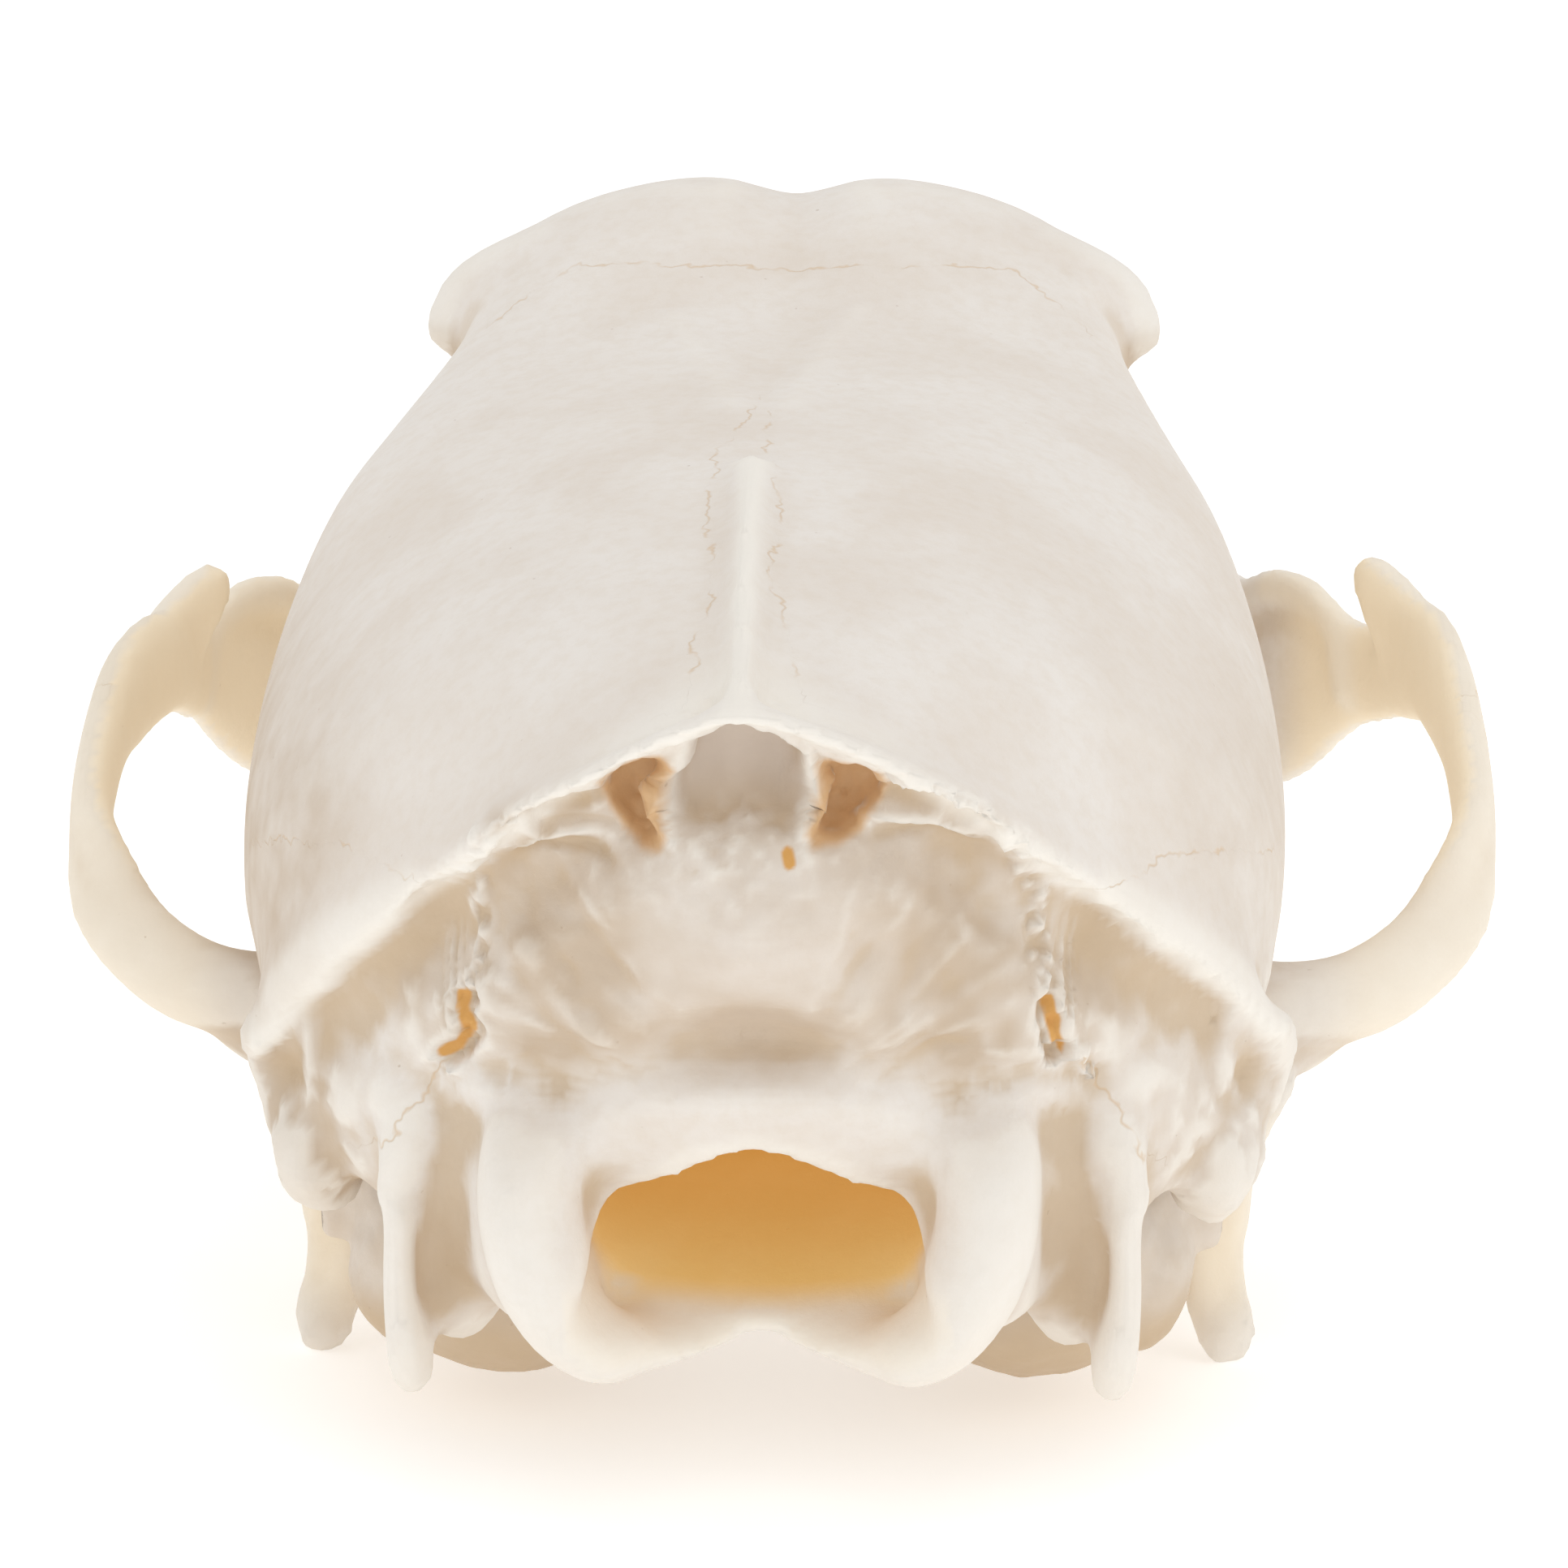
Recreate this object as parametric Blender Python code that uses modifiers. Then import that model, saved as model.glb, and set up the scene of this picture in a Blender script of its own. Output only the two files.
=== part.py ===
"""Jackal skull, the cranium without its lower jaw, life size, resting as a museum shows it.

The skull is modelled in its own frame first: X to the animal's right, Y towards the
snout, Z up, in millimetres, with Y at the rear of the occipital condyles and Z at the
lower edge of the great hole. It is then tipped nose up until it rests on the tips of
the canine teeth and of the two processes behind the jaw joints.
"""

import math

import bmesh
import bpy
import numpy as np
from mathutils import Matrix, Vector

MM = 0.001

# Driving sizes of the skull
CONDYLOBASAL_LENGTH = 145.0
CHEEK_HALF_WIDTH = 40.2
BRAINCASE_HALF_WIDTH = 28.4
CONDYLE_HALF_WIDTH = 14.0
BRAINCASE_LEAN = -0.6
CREST_APEX = (-0.7, -3.0, 36.0)
FOREHEAD_HEIGHT = 42.2
PALATE_LEVEL = -8.0
PALATE_HALF_WIDTH = 23.0
SNOUT_HALF_WIDTH = 12.4
CANINE_TIP = (12.3, 126.6, -24.6)
RETROARTICULAR_TIP = (25.1, 28.2, -13.0)

# Great hole at the back
HOLE_HALF_WIDTH = 8.3
HOLE_TOP = 11.0
HOLE_WIDEST_LEVEL = 4.0
HOLE_FLOOR = 0.4
HOLE_POCKET_DEPTH = 30.0
# Upper edge from the middle out: share of the half width, share of the height
HOLE_ARCH = [(0.0, 1.0), (0.25, 0.89), (0.42, 0.74), (0.6, 0.56), (0.78, 0.46), (0.92, 0.26), (1.0, 0.0)]

# How the pieces are parted, fused and set down
NODE_GAP = 0.3
CHEEK_CUT = 29.5
FACE_CUT_TOP = (87.0, 40.0)
FACE_CUT_BOTTOM = (60.0, -3.0)
FOOT_TRIM = 0.25
CLAY_VOXEL = 0.7
CLAY_SMOOTHING = 6
BODY_TRIANGLES = 9000
BULLA_SMOOTHING = 3
BULLA_TRIANGLES = 560
BULLA_MIDDLE = (15.2, 23.9, -2.2)
BULLA_LEAST_RADIUS = 7.6
LEAN_MIDDLE = 40.0
LEAN_REACH = 24.0
FURROW_HALF_WIDTH = 3.0
FAR = 200.0

BONE_COLOUR = (0.80, 0.74, 0.66, 1.0)
THIN_BONE_COLOUR = (0.80, 0.68, 0.50, 1.0)
BULLA_COLOUR = (0.78, 0.72, 0.64, 1.0)
SNOUT_COLOUR = (0.79, 0.74, 0.67, 1.0)
BONE_ROUGHNESS = 0.55
THIN_ROUGHNESS = 0.5


# Small tools

def remove_everything():
    for old in list(bpy.data.objects):
        bpy.data.objects.remove(old, do_unlink=True)


def new_collection(name):
    group = bpy.data.collections.new(name)
    bpy.context.scene.collection.children.link(group)
    return group


def bone_material(name, colour, roughness):
    material = bpy.data.materials.new(name)
    material.use_nodes = True
    shader = material.node_tree.nodes["Principled BSDF"]
    shader.inputs["Base Color"].default_value = colour
    shader.inputs["Roughness"].default_value = roughness
    shader.inputs["Metallic"].default_value = 0.0
    return material


def mesh_object(name, mesh, group):
    made = bpy.data.objects.new(name, mesh)
    group.objects.link(made)
    return made


def finish_bmesh(shape, name, group):
    bmesh.ops.recalc_face_normals(shape, faces=shape.faces)
    mesh = bpy.data.meshes.new(name)
    shape.to_mesh(mesh)
    shape.free()
    return mesh_object(name, mesh, group)


def bake(target):
    """Apply the modifiers by taking the evaluated mesh."""
    graph = bpy.context.evaluated_depsgraph_get()
    mesh = bpy.data.meshes.new_from_object(target.evaluated_get(graph))
    target.modifiers.clear()
    target.data = mesh
    return target


def combine(target, cutter, operation):
    """One Boolean, applied; the cutter is then removed."""
    step = target.modifiers.new(operation.lower(), "BOOLEAN")
    step.object = cutter
    step.operation = operation
    step.solver = "EXACT"
    bake(target)
    bpy.data.objects.remove(cutter, do_unlink=True)
    return target


def keep_largest(target):
    """Drop the loose scraps that a cut leaves."""
    shape = bmesh.new()
    shape.from_mesh(target.data)
    left = set(shape.verts)
    bodies = []
    while left:
        seed = left.pop()
        body = {seed}
        front = [seed]
        while front:
            vert = front.pop()
            for edge in vert.link_edges:
                other = edge.other_vert(vert)
                if other not in body:
                    body.add(other)
                    front.append(other)
        left -= body
        bodies.append(body)
    bodies.sort(key=len)
    for scrap in bodies[:-1]:
        bmesh.ops.delete(shape, geom=list(scrap), context="VERTS")
    shape.to_mesh(target.data)
    shape.free()


def smooth_values(table, at):
    """Catmull-Rom curve through the rows of a table, read at column 0."""
    table = np.array(table, float)
    keys = table[:, 0]
    span = int(np.clip(np.searchsorted(keys, at) - 1, 0, len(keys) - 2))
    before = table[max(span - 1, 0)]
    start = table[span]
    end = table[span + 1]
    after = table[min(span + 2, len(keys) - 1)]
    width = keys[span + 1] - keys[span]
    t = (at - keys[span]) / width
    slope_start = (end - before) / max(end[0] - before[0], 1e-6) * width
    slope_end = (after - start) / max(after[0] - start[0], 1e-6) * width
    return ((2 * t**3 - 3 * t**2 + 1) * start + (t**3 - 2 * t**2 + t) * slope_start
            + (3 * t**2 - 2 * t**3) * end + (t**3 - t**2) * slope_end)


def loft(name, rings, group):
    """Closed skin over a list of rings with the same number of points."""
    shape = bmesh.new()
    rows = [[shape.verts.new(point * MM) for point in ring] for ring in rings]
    count = len(rows[0])
    for low, high in zip(rows, rows[1:]):
        for i in range(count):
            j = (i + 1) % count
            shape.faces.new((low[i], low[j], high[j], high[i]))
    for row in (rows[0], rows[-1]):
        centre = shape.verts.new(sum((v.co for v in row), Vector()) / count)
        for i in range(count):
            shape.faces.new((row[i], row[(i + 1) % count], centre))
    return finish_bmesh(shape, name, group)


def section(y, half_width, widest, top, bottom, power_up, power_low, furrow, count=56):
    """One cross section of the skull body: a squared oval with a groove along its top."""
    points = []
    for i in range(count):
        angle = 2 * math.pi * i / count
        c, s = math.cos(angle), math.sin(angle)
        power = power_up if s > 0 else power_low
        reach = top - widest if s > 0 else widest - bottom
        x = half_width * math.copysign(abs(c) ** (2 / power), c)
        z = widest + reach * math.copysign(abs(s) ** (2 / power), s)
        if s > 0:
            z -= furrow * math.exp(-(x / FURROW_HALF_WIDTH) ** 2)
        points.append(Vector((x, y, z)))
    return points


def body_loft(name, table, step, group):
    first, last = table[0][0], table[-1][0]
    count = int(round((last - first) / step))
    rings = []
    for i in range(count + 1):
        rings.append(section(*smooth_values(table, first + (last - first) * i / count)))
    return loft(name, rings, group)


def bar(name, table, side, group, count=14, steps=6):
    """Bent bar with oval sections; rows are x y z, half width, half depth, lean.

    The half width lies across the bar and level, turned by lean degrees about the
    bar's run; the half depth lies square to both."""
    rows = [(float(i),) + tuple(row) for i, row in enumerate(table)]
    samples = [smooth_values(rows, i / steps) for i in range((len(table) - 1) * steps + 1)]
    centres = [Vector((row[1] * side, row[2], row[3])) for row in samples]
    rings = []
    for i, row in enumerate(samples):
        run = centres[min(i + 1, len(centres) - 1)] - centres[max(i - 1, 0)]
        run.normalize()
        level = run.cross(Vector((0, 0, 1)))
        if level.length < 0.2:
            level = Vector((1, 0, 0))
        level.normalize()
        level = level * (1 if level.x * side >= 0 else -1)
        across = Matrix.Rotation(math.radians(row[6]) * side, 3, run) @ level
        square = run.cross(across).normalized()
        ring = []
        for k in range(count):
            angle = 2 * math.pi * k / count
            out = across * (math.cos(angle) * row[4]) + square * (math.sin(angle) * row[5])
            ring.append(centres[i] + out)
        rings.append(ring)
    return loft(name, rings, group)


def lump(name, centre, radii, side, group, turn=0, segments=20):
    """Egg-shaped swelling, turned outward by some degrees."""
    shape = bmesh.new()
    bmesh.ops.create_uvsphere(shape, u_segments=segments, v_segments=segments // 2, radius=1.0)
    tilt = Matrix.Rotation(math.radians(turn) * side, 4, "Z")
    size = Matrix.Diagonal((*[r * MM for r in radii], 1.0))
    place = Matrix.Translation(Vector((centre[0] * side, centre[1], centre[2])) * MM)
    bmesh.ops.transform(shape, matrix=place @ tilt @ size, verts=shape.verts)
    return finish_bmesh(shape, name, group)


def block(name, low, high, group, matrix=None):
    """Cutter box between two corners, turned by a matrix if one is given."""
    shape = bmesh.new()
    bmesh.ops.create_cube(shape, size=1.0)
    size = [(b - a) * MM for a, b in zip(low, high)]
    middle = [(a + b) / 2 * MM for a, b in zip(low, high)]
    place = Matrix.Translation(middle) @ Matrix.Diagonal((*size, 1.0))
    bmesh.ops.transform(shape, matrix=(matrix or Matrix()) @ place, verts=shape.verts)
    return finish_bmesh(shape, name, group)


def join(pieces, name):
    """Join closed pieces into one object; their overlaps are fused later."""
    shape = bmesh.new()
    for piece in pieces:
        shape.from_mesh(piece.data)
    mesh = bpy.data.meshes.new(name)
    shape.to_mesh(mesh)
    shape.free()
    group = pieces[0].users_collection[0]
    for piece in pieces:
        bpy.data.objects.remove(piece, do_unlink=True)
    return mesh_object(name, mesh, group)


def fuse_clay(target, smoothing, triangles):
    """Fuse the overlapping pieces into one skin, ease the joins and thin the faces."""
    remesh = target.modifiers.new("fuse", "REMESH")
    remesh.mode = "VOXEL"
    remesh.voxel_size = CLAY_VOXEL * MM
    ease = target.modifiers.new("ease", "SMOOTH")
    ease.factor = 0.5
    ease.iterations = smoothing
    bake(target)
    keep_largest(target)
    faces = 2 * len(target.data.polygons)
    thin = target.modifiers.new("thin", "DECIMATE")
    thin.ratio = triangles / faces
    thin.use_collapse_triangulate = True
    return bake(target)


# Shape of the bones

def cranium_body(group):
    """Braincase, forehead and the upper part of the eye sockets' inner walls."""
    width = BRAINCASE_HALF_WIDTH
    crown = FOREHEAD_HEIGHT
    table = [
        (-0.8, 5.5, 30.5, 34.3, 25.5, 2.0, 2.0, 0.0),
        (1.8, 11.8, 25.5, 34.9, 12.0, 2.0, 2.0, 0.0),
        (5.0, 15.8, 21.0, 35.4, 6.5, 2.0, 2.2, 0.0),
        (9.0, 20.0, 18.0, 36.0, 3.0, 2.0, 2.3, 0.0),
        (14.0, 24.0, 15.5, 36.6, 1.2, 2.1, 2.3, 0.0),
        (20.0, 26.6, 14.5, 37.1, 0.6, 2.1, 2.3, 0.0),
        (28.0, width - 0.4, 15.5, 37.6, 0.4, 2.1, 2.2, 0.0),
        (36.0, width, 17.0, 37.7, 0.4, 2.15, 2.1, 0.0),
        (43.0, width - 0.7, 20.0, 37.5, 0.6, 2.3, 1.9, 0.0),
        (50.0, width - 2.4, 24.0, 37.3, 1.0, 2.5, 1.75, 0.1),
        (56.0, 23.8, 27.0, 37.4, 1.6, 2.6, 1.6, 0.2),
        (62.0, 21.6, 29.6, 38.0, 2.4, 2.7, 1.5, 0.4),
        (67.0, 20.2, 30.6, 39.5, 3.2, 2.7, 1.5, 0.8),
        (72.0, 19.8, 30.6, crown - 0.8, 4.0, 2.6, 1.5, 1.2),
        (76.0, 20.0, 30.6, crown, 4.6, 2.6, 1.5, 1.4),
        (81.0, 18.3, 30.0, crown - 1.0, 5.0, 2.5, 1.6, 1.4),
        (86.0, 16.4, 28.3, crown - 3.8, 5.4, 2.4, 1.7, 1.2),
        (91.0, 14.4, 24.5, crown - 7.4, 5.8, 2.3, 1.8, 0.8),
        (97.0, 11.0, 19.0, crown - 11.8, 6.0, 2.2, 2.0, 0.5),
    ]
    cranium = body_loft("cranium", table, 1.2, group)
    for vert in cranium.data.vertices:
        y = vert.co.y / MM
        vert.co.x += BRAINCASE_LEAN * MM * math.exp(-((y - LEAN_MIDDLE) / LEAN_REACH) ** 4)
    return cranium


def snout_body(group):
    """Upper jaw, palate and nose bones."""
    side = SNOUT_HALF_WIDTH
    cheek = PALATE_HALF_WIDTH
    floor = PALATE_LEVEL
    front = CONDYLOBASAL_LENGTH
    table = [
        (63.5, 8.0, -4.6, -2.2, floor + 1.0, 2.5, 3.0, 0.0),
        (67.0, 15.0, -4.2, 0.5, floor + 0.4, 2.4, 3.2, 0.0),
        (71.0, 19.5, -3.8, 2.5, floor, 2.3, 3.4, 0.0),
        (76.0, cheek - 0.6, -3.4, 5.0, floor, 2.2, 3.6, 0.0),
        (82.0, cheek, -2.4, 11.0, floor, 2.0, 3.8, 0.0),
        (87.0, cheek - 1.8, -0.8, 24.0, floor, 1.9, 3.8, 0.2),
        (91.5, cheek - 4.2, 1.0, 34.4, floor, 1.9, 3.8, 0.6),
        (97.0, cheek - 6.8, 3.0, 31.2, floor, 2.0, 3.6, 0.5),
        (104.0, side + 1.4, 4.0, 28.2, floor, 2.2, 3.4, 0.4),
        (112.0, side + 0.1, 4.0, 25.4, floor, 2.3, 3.4, 0.4),
        (120.0, side, 3.6, 23.0, floor, 2.4, 3.4, 0.4),
        (127.0, side + 0.9, 2.0, 21.0, floor, 2.4, 3.2, 0.4),
        (132.0, side + 0.2, 1.0, 19.4, floor, 2.5, 3.0, 0.4),
        (135.5, side - 1.4, -0.5, 15.5, floor + 0.2, 2.4, 2.8, 0.2),
        (139.5, side - 3.4, -2.2, 8.0, floor + 0.6, 2.3, 2.6, 0.0),
        (front - 2.0, 6.6, -3.8, 1.5, floor + 1.2, 2.2, 2.4, 0.0),
        (front, 3.6, -4.8, -2.6, floor + 2.0, 2.0, 2.0, 0.0),
    ]
    return body_loft("snout", table, 1.2, group)


def base_of_skull(group):
    """Bar of bone under the braincase, with the walls of the throat passage."""
    table = [
        (6.2, 6.6, 0.0, 0.8, -0.9, 2.5, 2.5, 0.0),
        (9.5, 9.8, 0.4, 2.2, -1.5, 2.5, 2.5, 0.0),
        (14.0, 10.2, 0.6, 3.4, -2.3, 2.5, 2.5, 0.0),
        (25.0, 9.0, 0.6, 4.6, -2.6, 2.5, 2.5, 0.0),
        (40.0, 9.5, 1.0, 6.0, -1.8, 2.5, 2.5, 0.0),
        (55.0, 8.2, 3.0, 9.0, 0.2, 2.5, 2.5, 0.0),
        (75.0, 8.6, 4.0, 14.0, 0.4, 2.5, 2.5, 0.0),
        (90.0, 10.0, 6.0, 20.0, -3.0, 2.5, 2.5, 0.0),
    ]
    pieces = [body_loft("base_bar", table, 2.0, group)]
    for side in (-1, 1):
        wall = [
            (6.4, 45.5, -7.4, 0.7, 1.6, 0),
            (6.2, 47.5, -3.0, 1.0, 4.4, 0),
            (6.6, 54.0, -1.4, 1.1, 5.6, 0),
            (7.4, 62.0, -1.6, 1.2, 5.8, 0),
            (8.6, 72.0, -1.8, 1.8, 6.0, 0),
        ]
        pieces.append(bar("throat_wall", wall, side, group))
    return pieces


def cheek_arch(side, group):
    """Zygomatic arch from the jaw joint out and forward to the eye socket's rim."""
    reach = CHEEK_HALF_WIDTH
    table = [
        (22.0, 35.0, 6.0, 4.6, 2.8, 0),
        (27.5, 34.0, 6.4, 3.9, 2.5, -8),
        (32.5, 34.6, 7.0, 3.2, 2.9, -25),
        (36.6, 37.4, 9.2, 2.7, 3.0, -50),
        (reach - 1.6, 42.0, 12.4, 1.7, 3.4, -12),
        (reach - 1.5, 48.0, 15.0, 1.5, 3.6, -6),
        (reach - 2.3, 54.0, 16.4, 1.5, 4.7, -2),
        (reach - 3.5, 60.0, 16.4, 1.45, 5.1, 4),
        (reach - 4.7, 66.0, 14.4, 1.45, 3.8, 6),
        (34.2, 72.0, 11.2, 1.6, 2.6, 10),
        (31.8, 77.5, 10.0, 1.9, 4.6, 14),
        (27.4, 82.5, 7.6, 2.6, 6.4, 12),
        (21.5, 87.0, 6.4, 3.4, 8.0, 6),
        (15.0, 92.0, 6.0, 3.6, 9.0, 0),
    ]
    spur = [
        (35.2, 61.5, 13.0, 3.6, 1.3, 90),
        (35.0, 63.2, 17.5, 3.0, 1.25, 90),
        (34.4, 64.6, 20.6, 1.9, 1.2, 90),
        (34.1, 65.2, 22.4, 0.8, 0.8, 90),
    ]
    return [bar("arch", table, side, group, count=18), bar("spur", spur, side, group)]


def eye_rim(side, group):
    """Raised rim that runs up from the cheek to the forehead in front of the eye."""
    table = [
        (34.6, 71.0, 10.6, 1.3, 1.3, 0),
        (33.4, 75.5, 12.0, 1.4, 1.6, 0),
        (31.0, 79.0, 13.8, 1.6, 2.2, 0),
        (27.0, 82.8, 13.6, 2.0, 2.8, 0),
        (22.5, 86.4, 16.0, 2.4, 3.2, 0),
        (18.0, 88.6, 22.0, 2.8, 3.2, 0),
        (15.0, 87.6, 29.0, 2.8, 3.2, 0),
    ]
    return bar("eye_rim", table, side, group)


def forehead_process(side, group):
    """Blunt process behind the eye socket."""
    table = [
        (14.0, 74.5, 36.6, 4.6, 3.4, 0),
        (18.0, 73.8, 35.6, 3.8, 2.8, 0),
        (20.0, 72.8, 34.4, 2.9, 2.3, 0),
        (21.4, 71.8, 33.2, 1.4, 1.4, 0),
    ]
    return bar("forehead_process", table, side, group)


def nuchal_crest(side, group):
    """Lip of bone along the top of the back face, from the apex to the ear region."""
    apex = CREST_APEX
    table = [
        (apex[0] * side - 0.6, apex[1] + 0.6, apex[2] - 0.9, 2.4, 1.1, -62),
        (3.4, -1.6, 33.6, 2.5, 1.0, -58),
        (7.0, -0.4, 31.0, 2.6, 1.0, -52),
        (12.4, 2.8, 26.9, 2.7, 1.0, -46),
        (17.0, 6.8, 22.4, 2.7, 1.0, -42),
        (21.2, 10.8, 18.2, 2.7, 1.0, -38),
        (24.6, 14.6, 13.8, 2.5, 1.0, -34),
        (26.2, 17.8, 9.8, 1.9, 1.3, -30),
        (25.2, 19.0, 6.0, 1.6, 1.6, 0),
    ]
    return bar("nuchal_crest", table, side, group)


def sagittal_crest(group):
    """Low ridge along the middle of the braincase."""
    apex = CREST_APEX
    table = [
        (apex[0], apex[1] + 0.4, apex[2] - 0.8, 0.8, 1.4, 0),
        (-0.8, 3.0, 36.0, 0.6, 1.4, 0),
        (-1.0, 12.0, 36.9, 0.55, 1.2, 0),
        (-1.1, 22.0, 37.8, 0.6, 1.0, 0),
        (-1.2, 31.0, 38.1, 0.7, 0.6, 0),
    ]
    return bar("sagittal_crest", table, 1, group, count=10)


def occipital_pieces(side, group):
    """Condyle, its neck and the processes beside the great hole."""
    edge = CONDYLE_HALF_WIDTH
    condyle = [
        (edge - 2.8, 6.6, 12.4, 1.9, 1.8, 0),
        (edge - 2.5, 4.2, 10.4, 2.6, 2.4, 0),
        (edge - 2.5, 2.9, 7.0, 2.7, 2.6, 0),
        (edge - 3.5, 2.5, 3.4, 2.8, 2.6, 0),
        (edge - 5.6, 2.9, 0.4, 2.8, 2.3, 0),
        (edge - 7.4, 4.2, -0.9, 2.0, 1.5, 0),
    ]
    neck = lump("condyle_neck", (11.4, 8.0, 5.6), (4.2, 5.0, 7.0), side, group)
    wall = lump("side_wall", (16.5, 11.5, 10.5), (8.5, 3.8, 7.6), side, group, turn=28)
    jugular = [
        (18.2, 10.2, 10.0, 2.6, 2.6, 0),
        (18.1, 8.2, 6.0, 1.9, 2.5, 0),
        (18.1, 7.4, 2.0, 1.6, 2.3, 0),
        (18.3, 7.4, -2.0, 1.5, 1.9, 0),
        (18.6, 8.0, -4.9, 1.1, 1.1, 0),
    ]
    web = lump("jugular_web", (18.4, 11.5, 1.5), (2.2, 4.2, 6.5), side, group)
    mastoid = lump("mastoid", (23.4, 16.4, 5.2), (2.7, 4.0, 4.2), side, group)
    return [bar("condyle", condyle, side, group, count=16), neck, wall,
            bar("jugular", jugular, side, group), web, mastoid]


def middle_occipital_pieces(group):
    """Swelling over the great hole and the arch of bone that closes it above."""
    swelling = lump("swelling", (-0.4, 4.0, 22.4), (5.8, 3.6, 5.2), 1, group)
    arch = [
        (-11.5, 6.2, 9.0, 2.4, 3.0, 0),
        (-7.0, 5.0, 11.4, 2.2, 2.4, 0),
        (0.0, 3.8, 13.6, 2.2, 2.2, 0),
        (7.0, 5.0, 11.4, 2.2, 2.4, 0),
        (11.5, 6.2, 9.0, 2.4, 3.0, 0),
    ]
    sill = [
        (-9.0, 3.8, -0.6, 2.0, 1.1, 0),
        (-6.0, 4.6, -1.1, 2.4, 1.0, 0),
        (-3.0, 6.4, -0.8, 2.4, 0.9, 0),
        (0.0, 7.6, -0.2, 2.4, 0.8, 0),
        (3.0, 6.4, -0.8, 2.4, 0.9, 0),
        (6.0, 4.6, -1.1, 2.4, 1.0, 0),
        (9.0, 3.8, -0.6, 2.0, 1.1, 0),
    ]
    return [swelling, bar("hole_arch", arch, 1, group), bar("hole_sill", sill, 1, group)]


def joint_pieces(side, group):
    """Jaw joint shelf and the process that hangs behind it."""
    tip = RETROARTICULAR_TIP
    shelf = lump("joint_shelf", (24.2, 35.5, 3.8), (7.4, 5.2, 2.8), side, group)
    table = [
        (25.2, 32.5, 3.4, 4.8, 2.0, 0),
        (24.2, 31.2, -1.6, 3.0, 1.6, 0),
        (24.0, 30.2, -6.0, 2.6, 1.2, 0),
        (24.6, 29.2, -9.6, 2.1, 1.3, 0),
        (tip[0], tip[1], tip[2] + 1.3, 1.7, 1.6, 0),
        (tip[0], tip[1] - 0.2, tip[2] - 0.1, 1.0, 0.9, 0),
    ]
    return [shelf, bar("retroarticular", table, side, group)]


def bulla(side, group):
    """Ear capsule with the short lip of its canal."""
    swell = lump("swell", (14.6, 23.8, -2.4), (8.2, 10.6, 8.2), side, group, turn=-14, segments=32)
    lip = [
        (18.0, 24.4, -1.0, 3.4, 3.4, 0),
        (22.0, 24.2, -1.2, 3.2, 3.2, 0),
        (24.6, 23.9, -1.4, 2.4, 2.5, 0),
    ]
    return join([swell, bar("lip", lip, side, group, count=18)], "bulla_clay")


# Teeth of one side: name, centre, half width, half length, crown height, cusps.
# A cusp is its offset across and along, its share of the height and of the base.

PREMOLAR_CUSPS = [(0.0, 0.05, 1.0, 0.8), (0.0, -0.75, 0.5, 0.5), (0.0, 0.75, 0.32, 0.45)]
TEETH = [
    ("molar_2", (17.4, 72.8), 3.8, 3.2, 3.8, [(0.7, 0.1, 1.0, 0.8), (-0.5, -0.1, 0.7, 0.9)]),
    ("molar_1", (18.4, 80.0), 5.8, 5.0, 5.4, [(0.75, 0.5, 1.0, 0.6), (0.7, -0.5, 0.85, 0.6),
                                             (-0.5, 0.0, 0.6, 0.9)]),
    ("premolar_4", (18.6, 91.6), 3.2, 7.8, 8.6, [(0.3, 0.25, 1.0, 0.55), (0.3, -0.6, 0.66, 0.5),
                                                (-0.9, 0.7, 0.35, 0.4)]),
    ("premolar_3", (14.8, 103.6), 2.0, 4.8, 5.8, PREMOLAR_CUSPS),
    ("premolar_2", (12.8, 113.0), 1.8, 4.2, 5.0, PREMOLAR_CUSPS),
    ("premolar_1", (11.8, 120.4), 1.6, 2.4, 3.8, [(0.0, 0.1, 1.0, 1.0)]),
    ("incisor_3", (8.2, 138.6), 1.6, 1.9, 6.8, [(0.1, 0.1, 1.0, 1.0)]),
    ("incisor_2", (5.0, 141.4), 1.5, 1.5, 5.4, [(0.0, 0.1, 1.0, 1.0)]),
    ("incisor_1", (1.8, 142.6), 1.4, 1.4, 4.8, [(0.0, 0.1, 1.0, 1.0)]),
]
ROOT_DEPTH = 2.6


def cusp(name, centre, half_width, half_length, base, tip, side, group, sides=7):
    """Rounded cone from its root in the jaw down to its point."""
    rings = []
    for share, swell in ((0.0, 0.8), (0.35, 1.0), (0.75, 0.55), (1.0, 0.12)):
        z = base + (tip - base) * share
        ring = []
        for k in range(sides):
            angle = 2 * math.pi * k / sides
            x = centre[0] + half_width * swell * math.cos(angle)
            y = centre[1] + half_length * swell * math.sin(angle)
            ring.append(Vector((x * side, y, z)))
        rings.append(ring)
    return loft(name, rings, group)


def teeth(side, group):
    pieces = []
    base = PALATE_LEVEL + ROOT_DEPTH
    for name, centre, half_width, half_length, height, cusps in TEETH:
        for across, along, tall, share in cusps:
            at = (centre[0] + across * half_width * 0.7, centre[1] + along * half_length * 0.8)
            tip = PALATE_LEVEL - height * tall
            wide = half_width * max(share, 0.55)
            pieces.append(cusp(name, at, wide, half_length * share, base, tip, side, group))
    tip = CANINE_TIP
    canine = [
        (11.2, 129.2, PALATE_LEVEL + ROOT_DEPTH + 1.5, 2.2, 3.3, 0),
        (11.6, 129.9, PALATE_LEVEL - 2.5, 2.2, 3.4, 0),
        (12.2, 129.6, PALATE_LEVEL - 7.5, 1.8, 2.6, 0),
        (12.4, 128.3, PALATE_LEVEL - 12.5, 1.2, 1.7, 0),
        (tip[0], tip[1], tip[2], 0.5, 0.6, 0),
    ]
    pieces.append(bar("canine", canine, side, group, count=12, steps=3))
    return pieces


# Openings

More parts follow.
